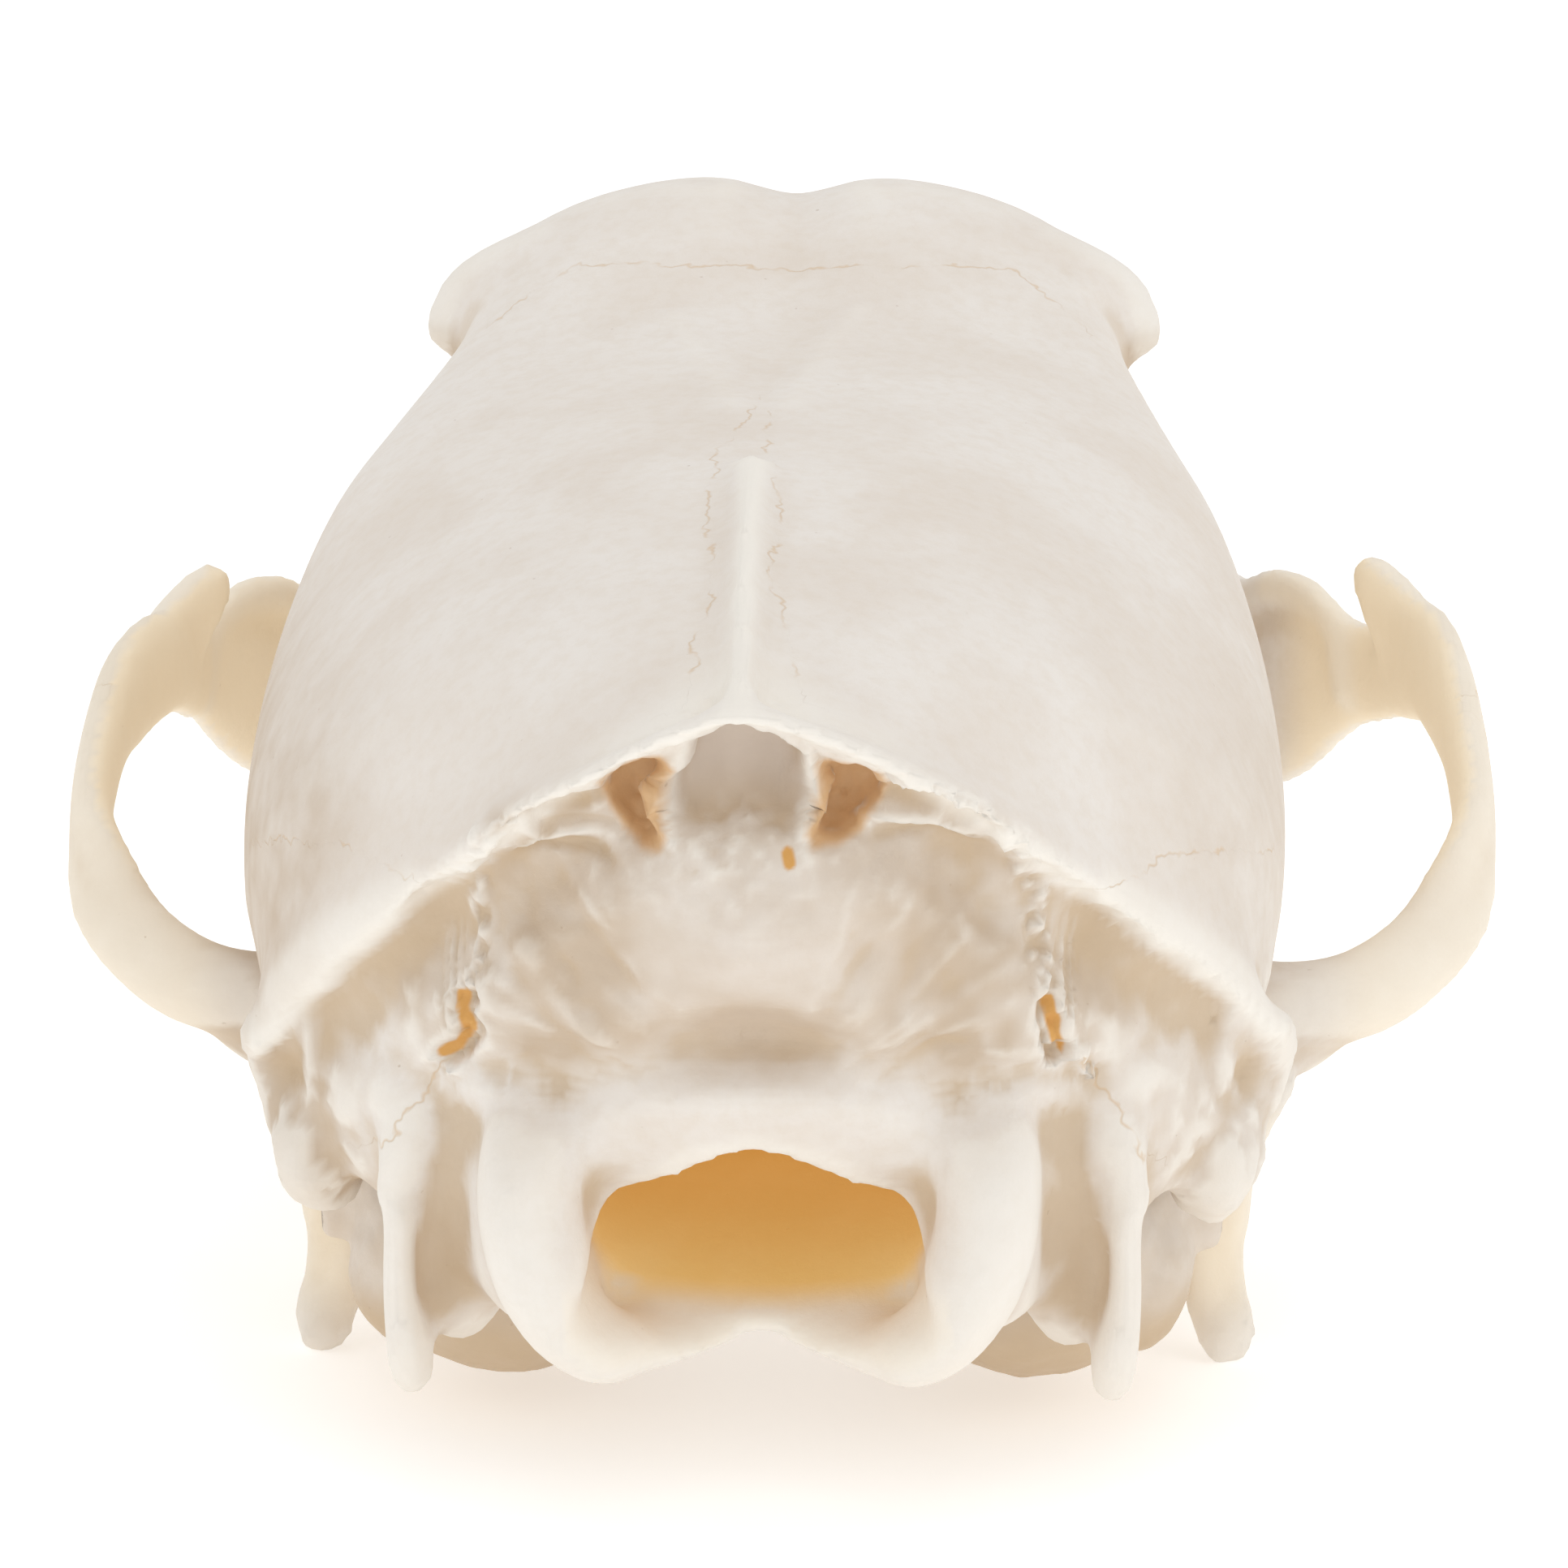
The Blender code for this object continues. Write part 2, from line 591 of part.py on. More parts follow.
def great_hole(group):
    """Cutter for the great hole and the part of the brain's room behind it."""
    half, rise = HOLE_HALF_WIDTH, HOLE_TOP - HOLE_WIDEST_LEVEL
    outline = [(-share * half, HOLE_WIDEST_LEVEL + rise * tall) for share, tall in reversed(HOLE_ARCH)]
    outline += [(share * half, HOLE_WIDEST_LEVEL + rise * tall) for share, tall in HOLE_ARCH[1:]]
    drop = HOLE_WIDEST_LEVEL - HOLE_FLOOR
    for share in (0.94, 0.75, 0.4, 0.0, -0.4, -0.75, -0.94):
        outline.append((share * half, HOLE_WIDEST_LEVEL - drop * math.sqrt(1.0 - share**2)))
    middle = HOLE_WIDEST_LEVEL + 1.4
    depth = HOLE_POCKET_DEPTH
    rings = []
    for y, grow, lift in ((-6.0, 1.0, -1.4), (3.0, 1.0, -0.3), (7.0, 1.0, 0.3), (12.0, 0.98, 1.5),
                          (depth * 0.6, 0.92, 2.4), (depth * 0.85, 0.7, 3.2), (depth, 0.35, 4.0)):
        rings.append([Vector((x * grow, y, middle + (z - middle) * grow + lift)) for x, z in outline])
    return loft("great_hole", rings, group)


def nose_hole(group):
    """Cutter for the nose opening and the room behind it."""
    table = [
        (100.0, 3.0, 10.0, 15.0, 6.0, 2.0, 2.0, 0.0),
        (108.0, 5.2, 8.5, 17.0, 1.5, 2.2, 2.2, 0.0),
        (122.0, 6.2, 7.0, 16.6, -0.8, 2.2, 2.2, 0.0),
        (134.0, 6.4, 6.0, 15.4, -1.6, 2.2, 2.2, 0.0),
        (150.0, 6.6, 6.0, 15.6, -1.0, 2.2, 2.2, 0.0),
    ]
    return body_loft("nose_hole", table, 3.0, group)


def ear_hole(side, group):
    """Cutter for the ear canal, which runs in through the lip of the capsule."""
    table = [
        (17.5, 24.6, -1.0, 1.4, 1.4, 0),
        (21.0, 24.4, -1.1, 2.0, 2.0, 0),
        (28.0, 23.8, -1.5, 2.1, 2.1, 0),
    ]
    return bar("ear_hole", table, side, group, count=12, steps=2)


def back_pit(side, group):
    """Cutter for the pit under the nuchal crest."""
    return lump("back_pit", (5.6, -0.4, 29.2), (1.9, 3.6, 2.6), side, group, segments=12)


# Setting the skull down

def rest_pose():
    """Pitch and height that put the canine and rear process tips on the floor."""
    run = CANINE_TIP[1] - RETROARTICULAR_TIP[1]
    drop = RETROARTICULAR_TIP[2] - CANINE_TIP[2]
    pitch = math.atan2(drop, run)
    turn = Matrix.Rotation(pitch, 4, "X")
    tip = turn @ (Vector(CANINE_TIP) * MM)
    return Matrix.Translation((0.0, 0.0, -tip.z - FOOT_TRIM * MM)) @ turn


def set_down(parts, group):
    """Trim the tips to small flats and hang all parts on one empty, centred over the origin."""
    pose = rest_pose()
    for part in parts:
        floor = block("floor", (-FAR, -FAR, -FAR), (FAR, FAR, 0.0), group, pose.inverted())
        combine(part, floor, "DIFFERENCE")
        keep_largest(part)
    corners = [pose @ vert.co for part in parts for vert in part.data.vertices]
    middle_x = (min(c.x for c in corners) + max(c.x for c in corners)) / 2
    middle_y = (min(c.y for c in corners) + max(c.y for c in corners)) / 2
    carrier = bpy.data.objects.new("skull_pose", None)
    group.objects.link(carrier)
    carrier.matrix_world = Matrix.Translation((-middle_x, -middle_y, 0.0)) @ pose
    for part in parts:
        part.parent = carrier


def copy_of(source, name, group):
    return mesh_object(name, source.data.copy(), group)


def face_side(front, group):
    """Cutter on one side of the slanting cut between face and braincase."""
    top = Vector((0.0, FACE_CUT_TOP[0], FACE_CUT_TOP[1]))
    bottom = Vector((0.0, FACE_CUT_BOTTOM[0], FACE_CUT_BOTTOM[1]))
    lean = math.atan2(top.y - bottom.y, top.z - bottom.z)
    turn = Matrix.Translation(bottom * MM) @ Matrix.Rotation(-lean, 4, "X")
    half_gap = NODE_GAP / 2
    if front:
        low, high = (-FAR, half_gap, -FAR), (FAR, FAR, FAR)
    else:
        low, high = (-FAR, -FAR, -FAR), (FAR, -half_gap, FAR)
    return block("face_side", low, high, group, turn)


def build():
    remove_everything()
    parts_group = new_collection("jackal_skull")
    work = new_collection("cutters")

    clay = [cranium_body(work), snout_body(work), sagittal_crest(work)]
    clay += base_of_skull(work) + middle_occipital_pieces(work)
    for side in (-1, 1):
        clay += cheek_arch(side, work) + occipital_pieces(side, work) + joint_pieces(side, work)
        clay += [eye_rim(side, work), forehead_process(side, work), nuchal_crest(side, work)]
    whole = fuse_clay(join(clay, "whole"), CLAY_SMOOTHING, BODY_TRIANGLES)
    combine(whole, great_hole(work), "DIFFERENCE")
    combine(whole, nose_hole(work), "DIFFERENCE")
    for side in (-1, 1):
        combine(whole, back_pit(side, work), "DIFFERENCE")

    bone = bone_material("bone", BONE_COLOUR, BONE_ROUGHNESS)
    thin_bone = bone_material("thin_bone", THIN_BONE_COLOUR, THIN_ROUGHNESS)
    snout_bone = bone_material("snout_bone", SNOUT_COLOUR, BONE_ROUGHNESS)
    bulla_bone = bone_material("bulla_bone", BULLA_COLOUR, THIN_ROUGHNESS)
    parts = []

    half_gap = NODE_GAP / 2
    for side, word in ((-1, "left"), (1, "right")):
        near, far = CHEEK_CUT + half_gap, FAR
        low_x, high_x = (near, far) if side > 0 else (-far, -near)
        arch = copy_of(whole, "zygomatic_arch_" + word, parts_group)
        combine(arch, block("keep", (low_x, -FAR, -FAR), (high_x, FAR, FAR), work), "INTERSECT")
        arch.data.materials.append(thin_bone)
        parts.append(arch)
    inner = CHEEK_CUT - half_gap
    combine(whole, block("keep", (-inner, -FAR, -FAR), (inner, FAR, FAR), work), "INTERSECT")

    muzzle = copy_of(whole, "muzzle", parts_group)
    combine(muzzle, face_side(True, work), "INTERSECT")
    muzzle.data.materials.append(snout_bone)
    for side in (-1, 1):
        for tooth in teeth(side, work):
            combine(muzzle, tooth, "UNION")
    parts.append(muzzle)

    braincase = copy_of(whole, "braincase", parts_group)
    combine(braincase, face_side(False, work), "INTERSECT")
    braincase.data.materials.append(bone)
    parts.append(braincase)
    bpy.data.objects.remove(whole, do_unlink=True)

    for side, word in ((-1, "left"), (1, "right")):
        capsule = fuse_clay(bulla(side, work), BULLA_SMOOTHING, BULLA_TRIANGLES)
        room = copy_of(capsule, "room", work)
        centre = Vector((BULLA_MIDDLE[0] * side, BULLA_MIDDLE[1], BULLA_MIDDLE[2])) * MM
        grow = Matrix.Scale(1.0 + NODE_GAP / BULLA_LEAST_RADIUS, 4)
        room.data.transform(Matrix.Translation(centre) @ grow @ Matrix.Translation(-centre))
        combine(braincase, room, "DIFFERENCE")
        combine(capsule, ear_hole(side, work), "DIFFERENCE")
        capsule.name = "auditory_bulla_" + word
        work.objects.unlink(capsule)
        parts_group.objects.link(capsule)
        capsule.data.materials.append(bulla_bone)
        parts.append(capsule)

    set_down(parts, parts_group)
    for part in parts:
        part.data.shade_smooth()


build()
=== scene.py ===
"""Looks of the jackal skull: bone pieces with their fine forms, teeth, stage, light and camera.

All shapes are given in the skull's own frame, in millimetres: X to the animal's right,
Y towards the snout, Z up, Y 0 at the rear of the occipital condyles and Z 0 at the lower
edge of the great hole. The skull is then tipped nose up onto its four resting points.
"""

import math

import bmesh
import bpy
import numpy as np
from mathutils import Matrix, Vector


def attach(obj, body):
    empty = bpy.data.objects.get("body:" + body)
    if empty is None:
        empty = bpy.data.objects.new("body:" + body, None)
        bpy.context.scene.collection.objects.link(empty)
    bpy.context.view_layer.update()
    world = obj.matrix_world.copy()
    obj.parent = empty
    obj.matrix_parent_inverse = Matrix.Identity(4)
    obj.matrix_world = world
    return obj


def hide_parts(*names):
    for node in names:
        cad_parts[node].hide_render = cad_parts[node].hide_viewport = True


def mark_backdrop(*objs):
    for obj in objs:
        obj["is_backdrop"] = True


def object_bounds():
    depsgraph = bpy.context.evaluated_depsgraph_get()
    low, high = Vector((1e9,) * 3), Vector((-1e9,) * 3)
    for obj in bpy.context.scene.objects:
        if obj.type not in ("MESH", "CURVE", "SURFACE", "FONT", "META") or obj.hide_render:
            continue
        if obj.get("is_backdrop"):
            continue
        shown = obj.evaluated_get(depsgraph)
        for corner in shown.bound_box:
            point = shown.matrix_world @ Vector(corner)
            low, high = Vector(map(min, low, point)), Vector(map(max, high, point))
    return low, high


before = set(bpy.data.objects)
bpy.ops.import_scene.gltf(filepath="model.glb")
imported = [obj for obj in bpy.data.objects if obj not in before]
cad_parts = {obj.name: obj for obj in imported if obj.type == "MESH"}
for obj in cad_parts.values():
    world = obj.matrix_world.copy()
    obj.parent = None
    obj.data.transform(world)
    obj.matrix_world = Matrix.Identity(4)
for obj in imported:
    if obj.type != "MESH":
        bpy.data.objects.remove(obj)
CAD_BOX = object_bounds()

bl_info = {
    "name": "Jackal skull",
    "version": (1, 0, 0),
    "blender": (4, 5, 0),
    "location": "3D View > Sidebar > Skull",
    "description": "Builds the bones, teeth, stage and camera of a jackal skull",
    "category": "Add Mesh",
}

MM = 0.001
BODY = "root"

# How the skull is tipped and set down
REST_PITCH = math.atan2(-13.0 + 24.6, 126.6 - 28.2)
REST_SHIFT = (0.00003, -0.068413, 0.009359)

# Driving sizes, the same as the solids'
CHEEK_HALF_WIDTH = 40.2
BRAINCASE_HALF_WIDTH = 28.4
CONDYLE_HALF_WIDTH = 14.0
BRAINCASE_LEAN = -0.6
CREST_APEX = (-0.7, -3.0, 36.0)
FOREHEAD_HEIGHT = 42.2
PALATE_LEVEL = -8.0
PALATE_HALF_WIDTH = 23.0
SNOUT_HALF_WIDTH = 12.4
SKULL_LENGTH = 145.0
RETROARTICULAR_TIP = (25.1, 28.2, -13.0)
CHEEK_CUT = 29.5
FACE_CUT = ((87.0, 40.0), (60.0, -3.0))


# Small tools

def turned():
    """Matrix from the skull's own frame in millimetres to the part's frame in metres."""
    return (Matrix.Translation(REST_SHIFT) @ Matrix.Rotation(REST_PITCH, 4, "X")
            @ Matrix.Scale(MM, 4))


def smooth_rows(table, at):
    """Catmull-Rom curves through the rows of a table, read at many places of column 0."""
    table = np.asarray(table, float)
    keys = table[:, 0]
    at = np.asarray(at, float)
    span = np.clip(np.searchsorted(keys, at) - 1, 0, len(keys) - 2)
    before, start = table[np.maximum(span - 1, 0)], table[span]
    end, after = table[span + 1], table[np.minimum(span + 2, len(keys) - 1)]
    width = (end[:, 0] - start[:, 0])[:, None]
    t = (at[:, None] - start[:, :1]) / width
    slope_start = (end - before) / np.maximum(end[:, :1] - before[:, :1], 1e-6) * width
    slope_end = (after - start) / np.maximum(after[:, :1] - start[:, :1], 1e-6) * width
    return ((2 * t**3 - 3 * t**2 + 1) * start + (t**3 - 2 * t**2 + t) * slope_start
            + (3 * t**2 - 2 * t**3) * end + (t**3 - t**2) * slope_end)


def lofted(rings):
    """Closed skin over rings with the same number of points: (points, faces)."""
    rings = np.asarray(rings, float)
    rows, count, _ = rings.shape
    points = np.vstack([rings.reshape(-1, 3), rings[0].mean(0), rings[-1].mean(0)])
    faces = []
    for row in range(rows - 1):
        here, ahead = row * count, (row + 1) * count
        for i in range(count):
            j = (i + 1) % count
            faces.append((here + i, here + j, ahead + j, ahead + i))
    low, high = rows * count, rows * count + 1
    last = (rows - 1) * count
    for i in range(count):
        j = (i + 1) % count
        faces.append((i, low, j))
        faces.append((last + i, last + j, high))
    return points, faces


def body_form(table, step, furrow_width=3.0, count=96):
    """Loft along Y of squared ovals; rows are y, half width, level of the widest place,
    top, bottom, squareness above and below, depth of the furrow along the top."""
    first, last = table[0][0], table[-1][0]
    rows = smooth_rows(table, np.linspace(first, last, int(round((last - first) / step)) + 1))
    angle = np.linspace(0, 2 * math.pi, count, endpoint=False)
    c, s = np.cos(angle), np.sin(angle)
    rings = []
    for y, half_width, widest, top, bottom, power_up, power_low, furrow in rows:
        power = np.where(s > 0, power_up, power_low)
        reach = np.where(s > 0, top - widest, widest - bottom)
        x = half_width * np.sign(c) * np.abs(c) ** (2 / power)
        z = widest + reach * np.sign(s) * np.abs(s) ** (2 / power)
        z = z - np.where(s > 0, furrow * np.exp(-(x / furrow_width) ** 2), 0.0)
        rings.append(np.stack([x, np.full(count, y), z], 1))
    return lofted(rings)


def bar_form(table, side=1, count=22, steps=10):
    """Bent bar with oval sections; rows are x y z, half width, half depth, lean in degrees."""
    table = np.asarray(table, float)
    keyed = np.column_stack([np.arange(len(table)), table])
    samples = smooth_rows(keyed, np.linspace(0, len(table) - 1, (len(table) - 1) * steps + 1))[:, 1:]
    centres = samples[:, :3] * (side, 1, 1)
    angle = np.linspace(0, 2 * math.pi, count, endpoint=False)
    rings = []
    for i, row in enumerate(samples):
        run = Vector(centres[min(i + 1, len(centres) - 1)] - centres[max(i - 1, 0)]).normalized()
        level = run.cross(Vector((0, 0, 1)))
        level = Vector((1, 0, 0)) if level.length < 0.2 else level.normalized()
        level = level * (1 if level.x * side >= 0 else -1)
        across = Matrix.Rotation(math.radians(row[5]) * side, 3, run) @ level
        square = np.array(run.cross(across).normalized())
        across = np.array(across)
        ring = np.outer(np.cos(angle) * row[3], across) + np.outer(np.sin(angle) * row[4], square)
        rings.append(centres[i] + ring)
    return lofted(rings)


def egg_form(centre, radii, side=1, turn=0.0, pitch=0.0, count=40):
    """Egg-shaped swelling, turned outward about Z and pitched about X by some degrees."""
    lat = np.linspace(-math.pi / 2, math.pi / 2, count // 2 + 1)[1:-1]
    lon = np.linspace(0, 2 * math.pi, count, endpoint=False)
    spin = Matrix.Rotation(math.radians(turn) * side, 3, "Z")
    spin = spin @ Matrix.Rotation(math.radians(pitch), 3, "X")
    circle = np.stack([np.cos(lon), np.sin(lon)], 1)
    rings = [np.column_stack([circle * np.cos(a), np.full(count, np.sin(a))]) for a in lat]
    rings = np.array(rings) * radii @ np.array(spin).T + (centre[0] * side, centre[1], centre[2])
    return lofted(rings)


def both(make):
    """The same form on the left and the right."""
    return [form for side in (-1, 1) for form in make(side)]


def mesh_from(name, forms):
    """One mesh object from (points, faces) forms, faces turned outward."""
    points, faces, start = [], [], 0
    for form_points, form_faces in forms:
        points.append(form_points)
        faces.extend(tuple(i + start for i in face) for face in form_faces)
        start += len(form_points)
    mesh = bpy.data.meshes.new(name)
    mesh.from_pydata(np.vstack(points).tolist(), [], faces)
    shape = bmesh.new()
    shape.from_mesh(mesh)
    bmesh.ops.recalc_face_normals(shape, faces=shape.faces)
    shape.to_mesh(mesh)
    shape.free()
    made = bpy.data.objects.new(name, mesh)
    bpy.context.scene.collection.objects.link(made)
    return made


def baked(target):
    """Apply the modifiers by taking the evaluated mesh."""
    graph = bpy.context.evaluated_depsgraph_get()
    mesh = bpy.data.meshes.new_from_object(target.evaluated_get(graph))
    target.modifiers.clear()
    old = target.data
    target.data = mesh
    bpy.data.meshes.remove(old)
    return target


def remeshed(target, voxel, smoothing):
    """Fuse overlapping forms into one even skin and ease the joins."""
    fuse = target.modifiers.new("fuse", "REMESH")
    fuse.mode = "VOXEL"
    fuse.voxel_size = voxel
    if smoothing:
        ease = target.modifiers.new("ease", "SMOOTH")
        ease.factor = 0.5
        ease.iterations = smoothing
    return baked(target)


def eased(target, weights, rounds):
    """Smooth a mesh where the weights say, to blend one form into the next."""
    group = target.vertex_groups.new(name="ease")
    levels = np.round(np.clip(weights, 0, 1) * 10).astype(int)
    for level in range(1, 11):
        group.add(np.nonzero(levels == level)[0].tolist(), level / 10, "REPLACE")
    ease = target.modifiers.new("ease", "SMOOTH")
    ease.vertex_group = "ease"
    ease.factor = 0.5
    ease.iterations = rounds
    baked(target)
    target.vertex_groups.clear()
    return target


def carved(target, cutter, operation="DIFFERENCE"):
    """One Boolean, applied; the cutter is then removed."""
    step = target.modifiers.new("carve", "BOOLEAN")
    step.object = cutter
    step.operation = operation
    step.solver = "MANIFOLD"
    baked(target)
    bpy.data.objects.remove(cutter, do_unlink=True)
    return target


def drop(*objects):
    """Remove helper objects."""
    for old in objects:
        bpy.data.objects.remove(old, do_unlink=True)


def points_of(target):
    """All points of a mesh as rows."""
    points = np.empty(len(target.data.vertices) * 3)
    target.data.vertices.foreach_get("co", points)
    return points.reshape(-1, 3)


def normals_of(target):
    """The normal at each point of a mesh as rows."""
    normals = np.empty(len(target.data.vertices) * 3)
    target.data.vertex_normals.foreach_get("vector", normals)
    return normals.reshape(-1, 3)


def set_points(target, points):
    """Move all points of a mesh."""
    target.data.vertices.foreach_set("co", points.reshape(-1))
    target.data.update()


def set_mask(target, name, values):
    """Store one number a point, for the material to read."""
    layer = target.data.attributes.get(name) or target.data.attributes.new(name, "FLOAT", "POINT")
    layer.data.foreach_set("value", np.asarray(values, dtype=np.float32))


# Numbers that scatter the cells of the random field
CELL_STEPS = (73856093, 19349663, 83492791)
SEED_STEP = 2654435761
KEY_MIXES = ((13, 1274126177), (15, 668265263))
KEY_TOP = 0x7FFFFFFF
FIELD_OFFSET = 17.3


def wobble(points, size, seed=0, octaves=1):
    """Smooth random field between about -1 and 1, with features of the given size."""
    total = np.zeros(len(points))
    weight = 1.0
    for octave in range(octaves):
        scaled = points / (size / 2**octave) + FIELD_OFFSET * (seed + octave)
        cell = np.floor(scaled).astype(np.int64)
        f = scaled - cell
        f = f * f * (3 - 2 * f)
        value = np.zeros(len(points))
        for corner in range(8):
            step = np.array([corner & 1, corner >> 1 & 1, corner >> 2 & 1])
            key = ((cell + step) * CELL_STEPS).sum(1) + seed * SEED_STEP
            for shift, factor in KEY_MIXES:
                key = (key ^ (key >> shift)) * factor & KEY_TOP
            part = np.prod(np.where(step == 1, f, 1 - f), axis=1)
            value += part * (key / (KEY_TOP // 2) - 1.0)
        total += value * weight
        weight *= 0.5
    return total


def bump(distance, reach):
    """1 at the middle falling softly to 0 at the reach."""
    t = np.clip(1.0 - np.abs(distance) / reach, 0.0, 1.0)
    return t * t * (3 - 2 * t)


def ramp(value, low, high):
    """Soft step from 0 at low to 1 at high."""
    t = np.clip((value - low) / (high - low), 0.0, 1.0)
    return t * t * (3 - 2 * t)


def to_path(points, path):
    """Distance to a path of points and the share of the way along it."""
    path = np.asarray(path, float)
    best = np.full(len(points), 1e9)
    share = np.zeros(len(points))
    lengths = np.linalg.norm(np.diff(path, axis=0), axis=1)
    run = np.concatenate([[0.0], np.cumsum(lengths)])
    for i, length in enumerate(lengths):
        along = path[i + 1] - path[i]
        t = np.clip(((points - path[i]) @ along) / length**2, 0.0, 1.0)
        gap = np.linalg.norm(points - path[i] - t[:, None] * along, axis=1)
        nearer = gap < best
        best = np.where(nearer, gap, best)
        share = np.where(nearer, (run[i] + t * length) / run[-1], share)
    return best, share


# Forms of the bones

def braincase_forms():
    """Dome from the back of the skull to the forehead."""
    width, crown = BRAINCASE_HALF_WIDTH, FOREHEAD_HEIGHT
    table = [
        (-0.8, 5.5, 30.5, 34.3, 25.5, 2.0, 2.0, 0.0),
        (1.8, 11.8, 25.5, 34.9, 12.0, 2.0, 2.0, 0.0),
        (5.0, 15.8, 21.0, 35.4, 6.5, 2.0, 2.2, 0.0),
        (9.0, 20.0, 18.0, 36.0, 3.0, 2.0, 2.3, 0.0),
        (14.0, 24.0, 15.5, 36.6, 1.2, 2.1, 2.3, 0.0),
        (20.0, 26.6, 14.5, 37.1, 0.6, 2.1, 2.3, 0.0),
        (28.0, width - 0.4, 15.5, 37.6, 0.4, 2.1, 2.2, 0.0),
        (36.0, width, 17.0, 37.7, 0.4, 2.15, 2.1, 0.0),
        (43.0, width - 0.7, 20.0, 37.5, 0.6, 2.3, 1.9, 0.0),
        (50.0, width - 2.4, 24.0, 37.3, 1.0, 2.5, 1.75, 0.1),
        (56.0, 23.8, 27.0, 37.4, 1.6, 2.6, 1.6, 0.2),
        (62.0, 21.6, 29.6, 38.0, 2.4, 2.7, 1.5, 0.4),
        (67.0, 20.2, 30.6, 39.5, 3.2, 2.7, 1.5, 0.8),
        (72.0, 19.8, 30.6, crown - 0.8, 4.0, 2.6, 1.5, 1.2),
        (76.0, 20.0, 30.6, crown, 4.6, 2.6, 1.5, 1.4),
        (81.0, 18.3, 30.0, crown - 1.0, 5.0, 2.5, 1.6, 1.4),
        (86.0, 16.4, 28.3, crown - 3.8, 5.4, 2.4, 1.7, 1.2),
        (91.0, 14.4, 24.5, crown - 7.4, 5.8, 2.3, 1.8, 0.8),
        (97.0, 11.0, 19.0, crown - 11.8, 6.0, 2.2, 2.0, 0.5),
    ]
    points, faces = body_form(table, 0.8)
    points[:, 0] += BRAINCASE_LEAN * np.exp(-((points[:, 1] - 40.0) / 24.0) ** 4)
    return [(points, faces)]


def snout_forms():
    """Upper jaw and nose bones from the throat to the front teeth."""
    side, cheek, floor, front = SNOUT_HALF_WIDTH, PALATE_HALF_WIDTH, PALATE_LEVEL, SKULL_LENGTH
    table = [
        (63.5, 8.0, -4.6, -2.2, floor + 1.0, 2.5, 3.0, 0.0),
        (67.0, 15.0, -4.2, 0.5, floor + 0.4, 2.4, 3.2, 0.0),
        (71.0, 19.5, -3.8, 2.5, floor, 2.3, 3.4, 0.0),
        (76.0, cheek - 0.6, -3.4, 5.0, floor, 2.2, 3.6, 0.0),
        (82.0, cheek, -2.4, 11.0, floor, 2.0, 3.8, 0.0),
        (87.0, cheek - 1.8, -0.8, 24.0, floor, 1.9, 3.8, 0.2),
        (91.5, cheek - 4.2, 1.0, 34.4, floor, 1.9, 3.8, 0.6),
        (97.0, cheek - 6.8, 3.0, 31.2, floor, 2.0, 3.6, 0.5),
        (104.0, side + 1.4, 4.0, 28.2, floor, 2.2, 3.4, 0.4),
        (112.0, side + 0.1, 4.0, 25.4, floor, 2.3, 3.4, 0.4),
        (120.0, side, 3.6, 23.0, floor, 2.4, 3.4, 0.4),
        (127.0, side + 0.9, 2.0, 21.0, floor, 2.4, 3.2, 0.4),
        (132.0, side + 0.2, 1.0, 19.4, floor, 2.5, 3.0, 0.4),
        (135.5, side - 1.4, -0.5, 15.5, floor + 0.2, 2.4, 2.8, 0.2),
        (139.5, side - 3.4, -2.2, 8.0, floor + 0.6, 2.3, 2.6, 0.0),
        (front - 2.0, 6.6, -3.8, 1.5, floor + 1.2, 2.2, 2.4, 0.0),
        (front, 3.6, -4.8, -2.6, floor + 2.0, 2.0, 2.0, 0.0),
    ]
    return [body_form(table, 0.8)]


def base_forms():
    """Floor of the braincase and the two walls that run forward from it."""
    table = [
        (6.2, 6.6, 0.0, 0.8, -0.9, 2.5, 2.5, 0.0),
        (9.5, 9.8, 0.4, 2.2, -1.5, 2.5, 2.5, 0.0),
        (14.0, 10.2, 0.6, 3.4, -2.3, 2.5, 2.5, 0.0),
        (25.0, 9.0, 0.6, 4.6, -2.6, 2.5, 2.5, 0.0),
        (40.0, 9.5, 1.0, 6.0, -1.8, 2.5, 2.5, 0.0),
        (55.0, 8.2, 3.0, 9.0, 0.2, 2.5, 2.5, 0.0),
        (75.0, 8.6, 4.0, 14.0, 0.4, 2.5, 2.5, 0.0),
        (90.0, 10.0, 6.0, 20.0, -3.0, 2.5, 2.5, 0.0),
    ]
    wall = [
        (6.4, 45.5, -7.4, 0.7, 1.6, 0),
        (6.2, 47.5, -3.0, 1.0, 4.4, 0),
        (6.6, 54.0, -1.4, 1.1, 5.6, 0),
        (7.4, 62.0, -1.6, 1.2, 5.8, 0),
        (8.6, 72.0, -1.8, 1.8, 6.0, 0),
    ]
    return [body_form(table, 1.2)] + both(lambda side: [bar_form(wall, side)])


# Outer part of the eye's lower rim: places on the left side, half widths and half depths
EYE_RIM = [(36.2, 68.6, 11.0), (36.1, 68.9, 12.9), (35.9, 69.8, 14.6), (35.1, 71.2, 15.8),
           (33.8, 73.7, 16.2), (32.2, 76.4, 15.6), (30.9, 79.0, 13.8), (28.4, 82.0, 12.6)]
EYE_RIM_SIZES = [(0.9, 1.2), (1.0, 1.2), (1.0, 1.1), (1.05, 1.1), (1.1, 1.2), (1.2, 1.3), (1.4, 1.6),
                 (2.0, 2.4)]


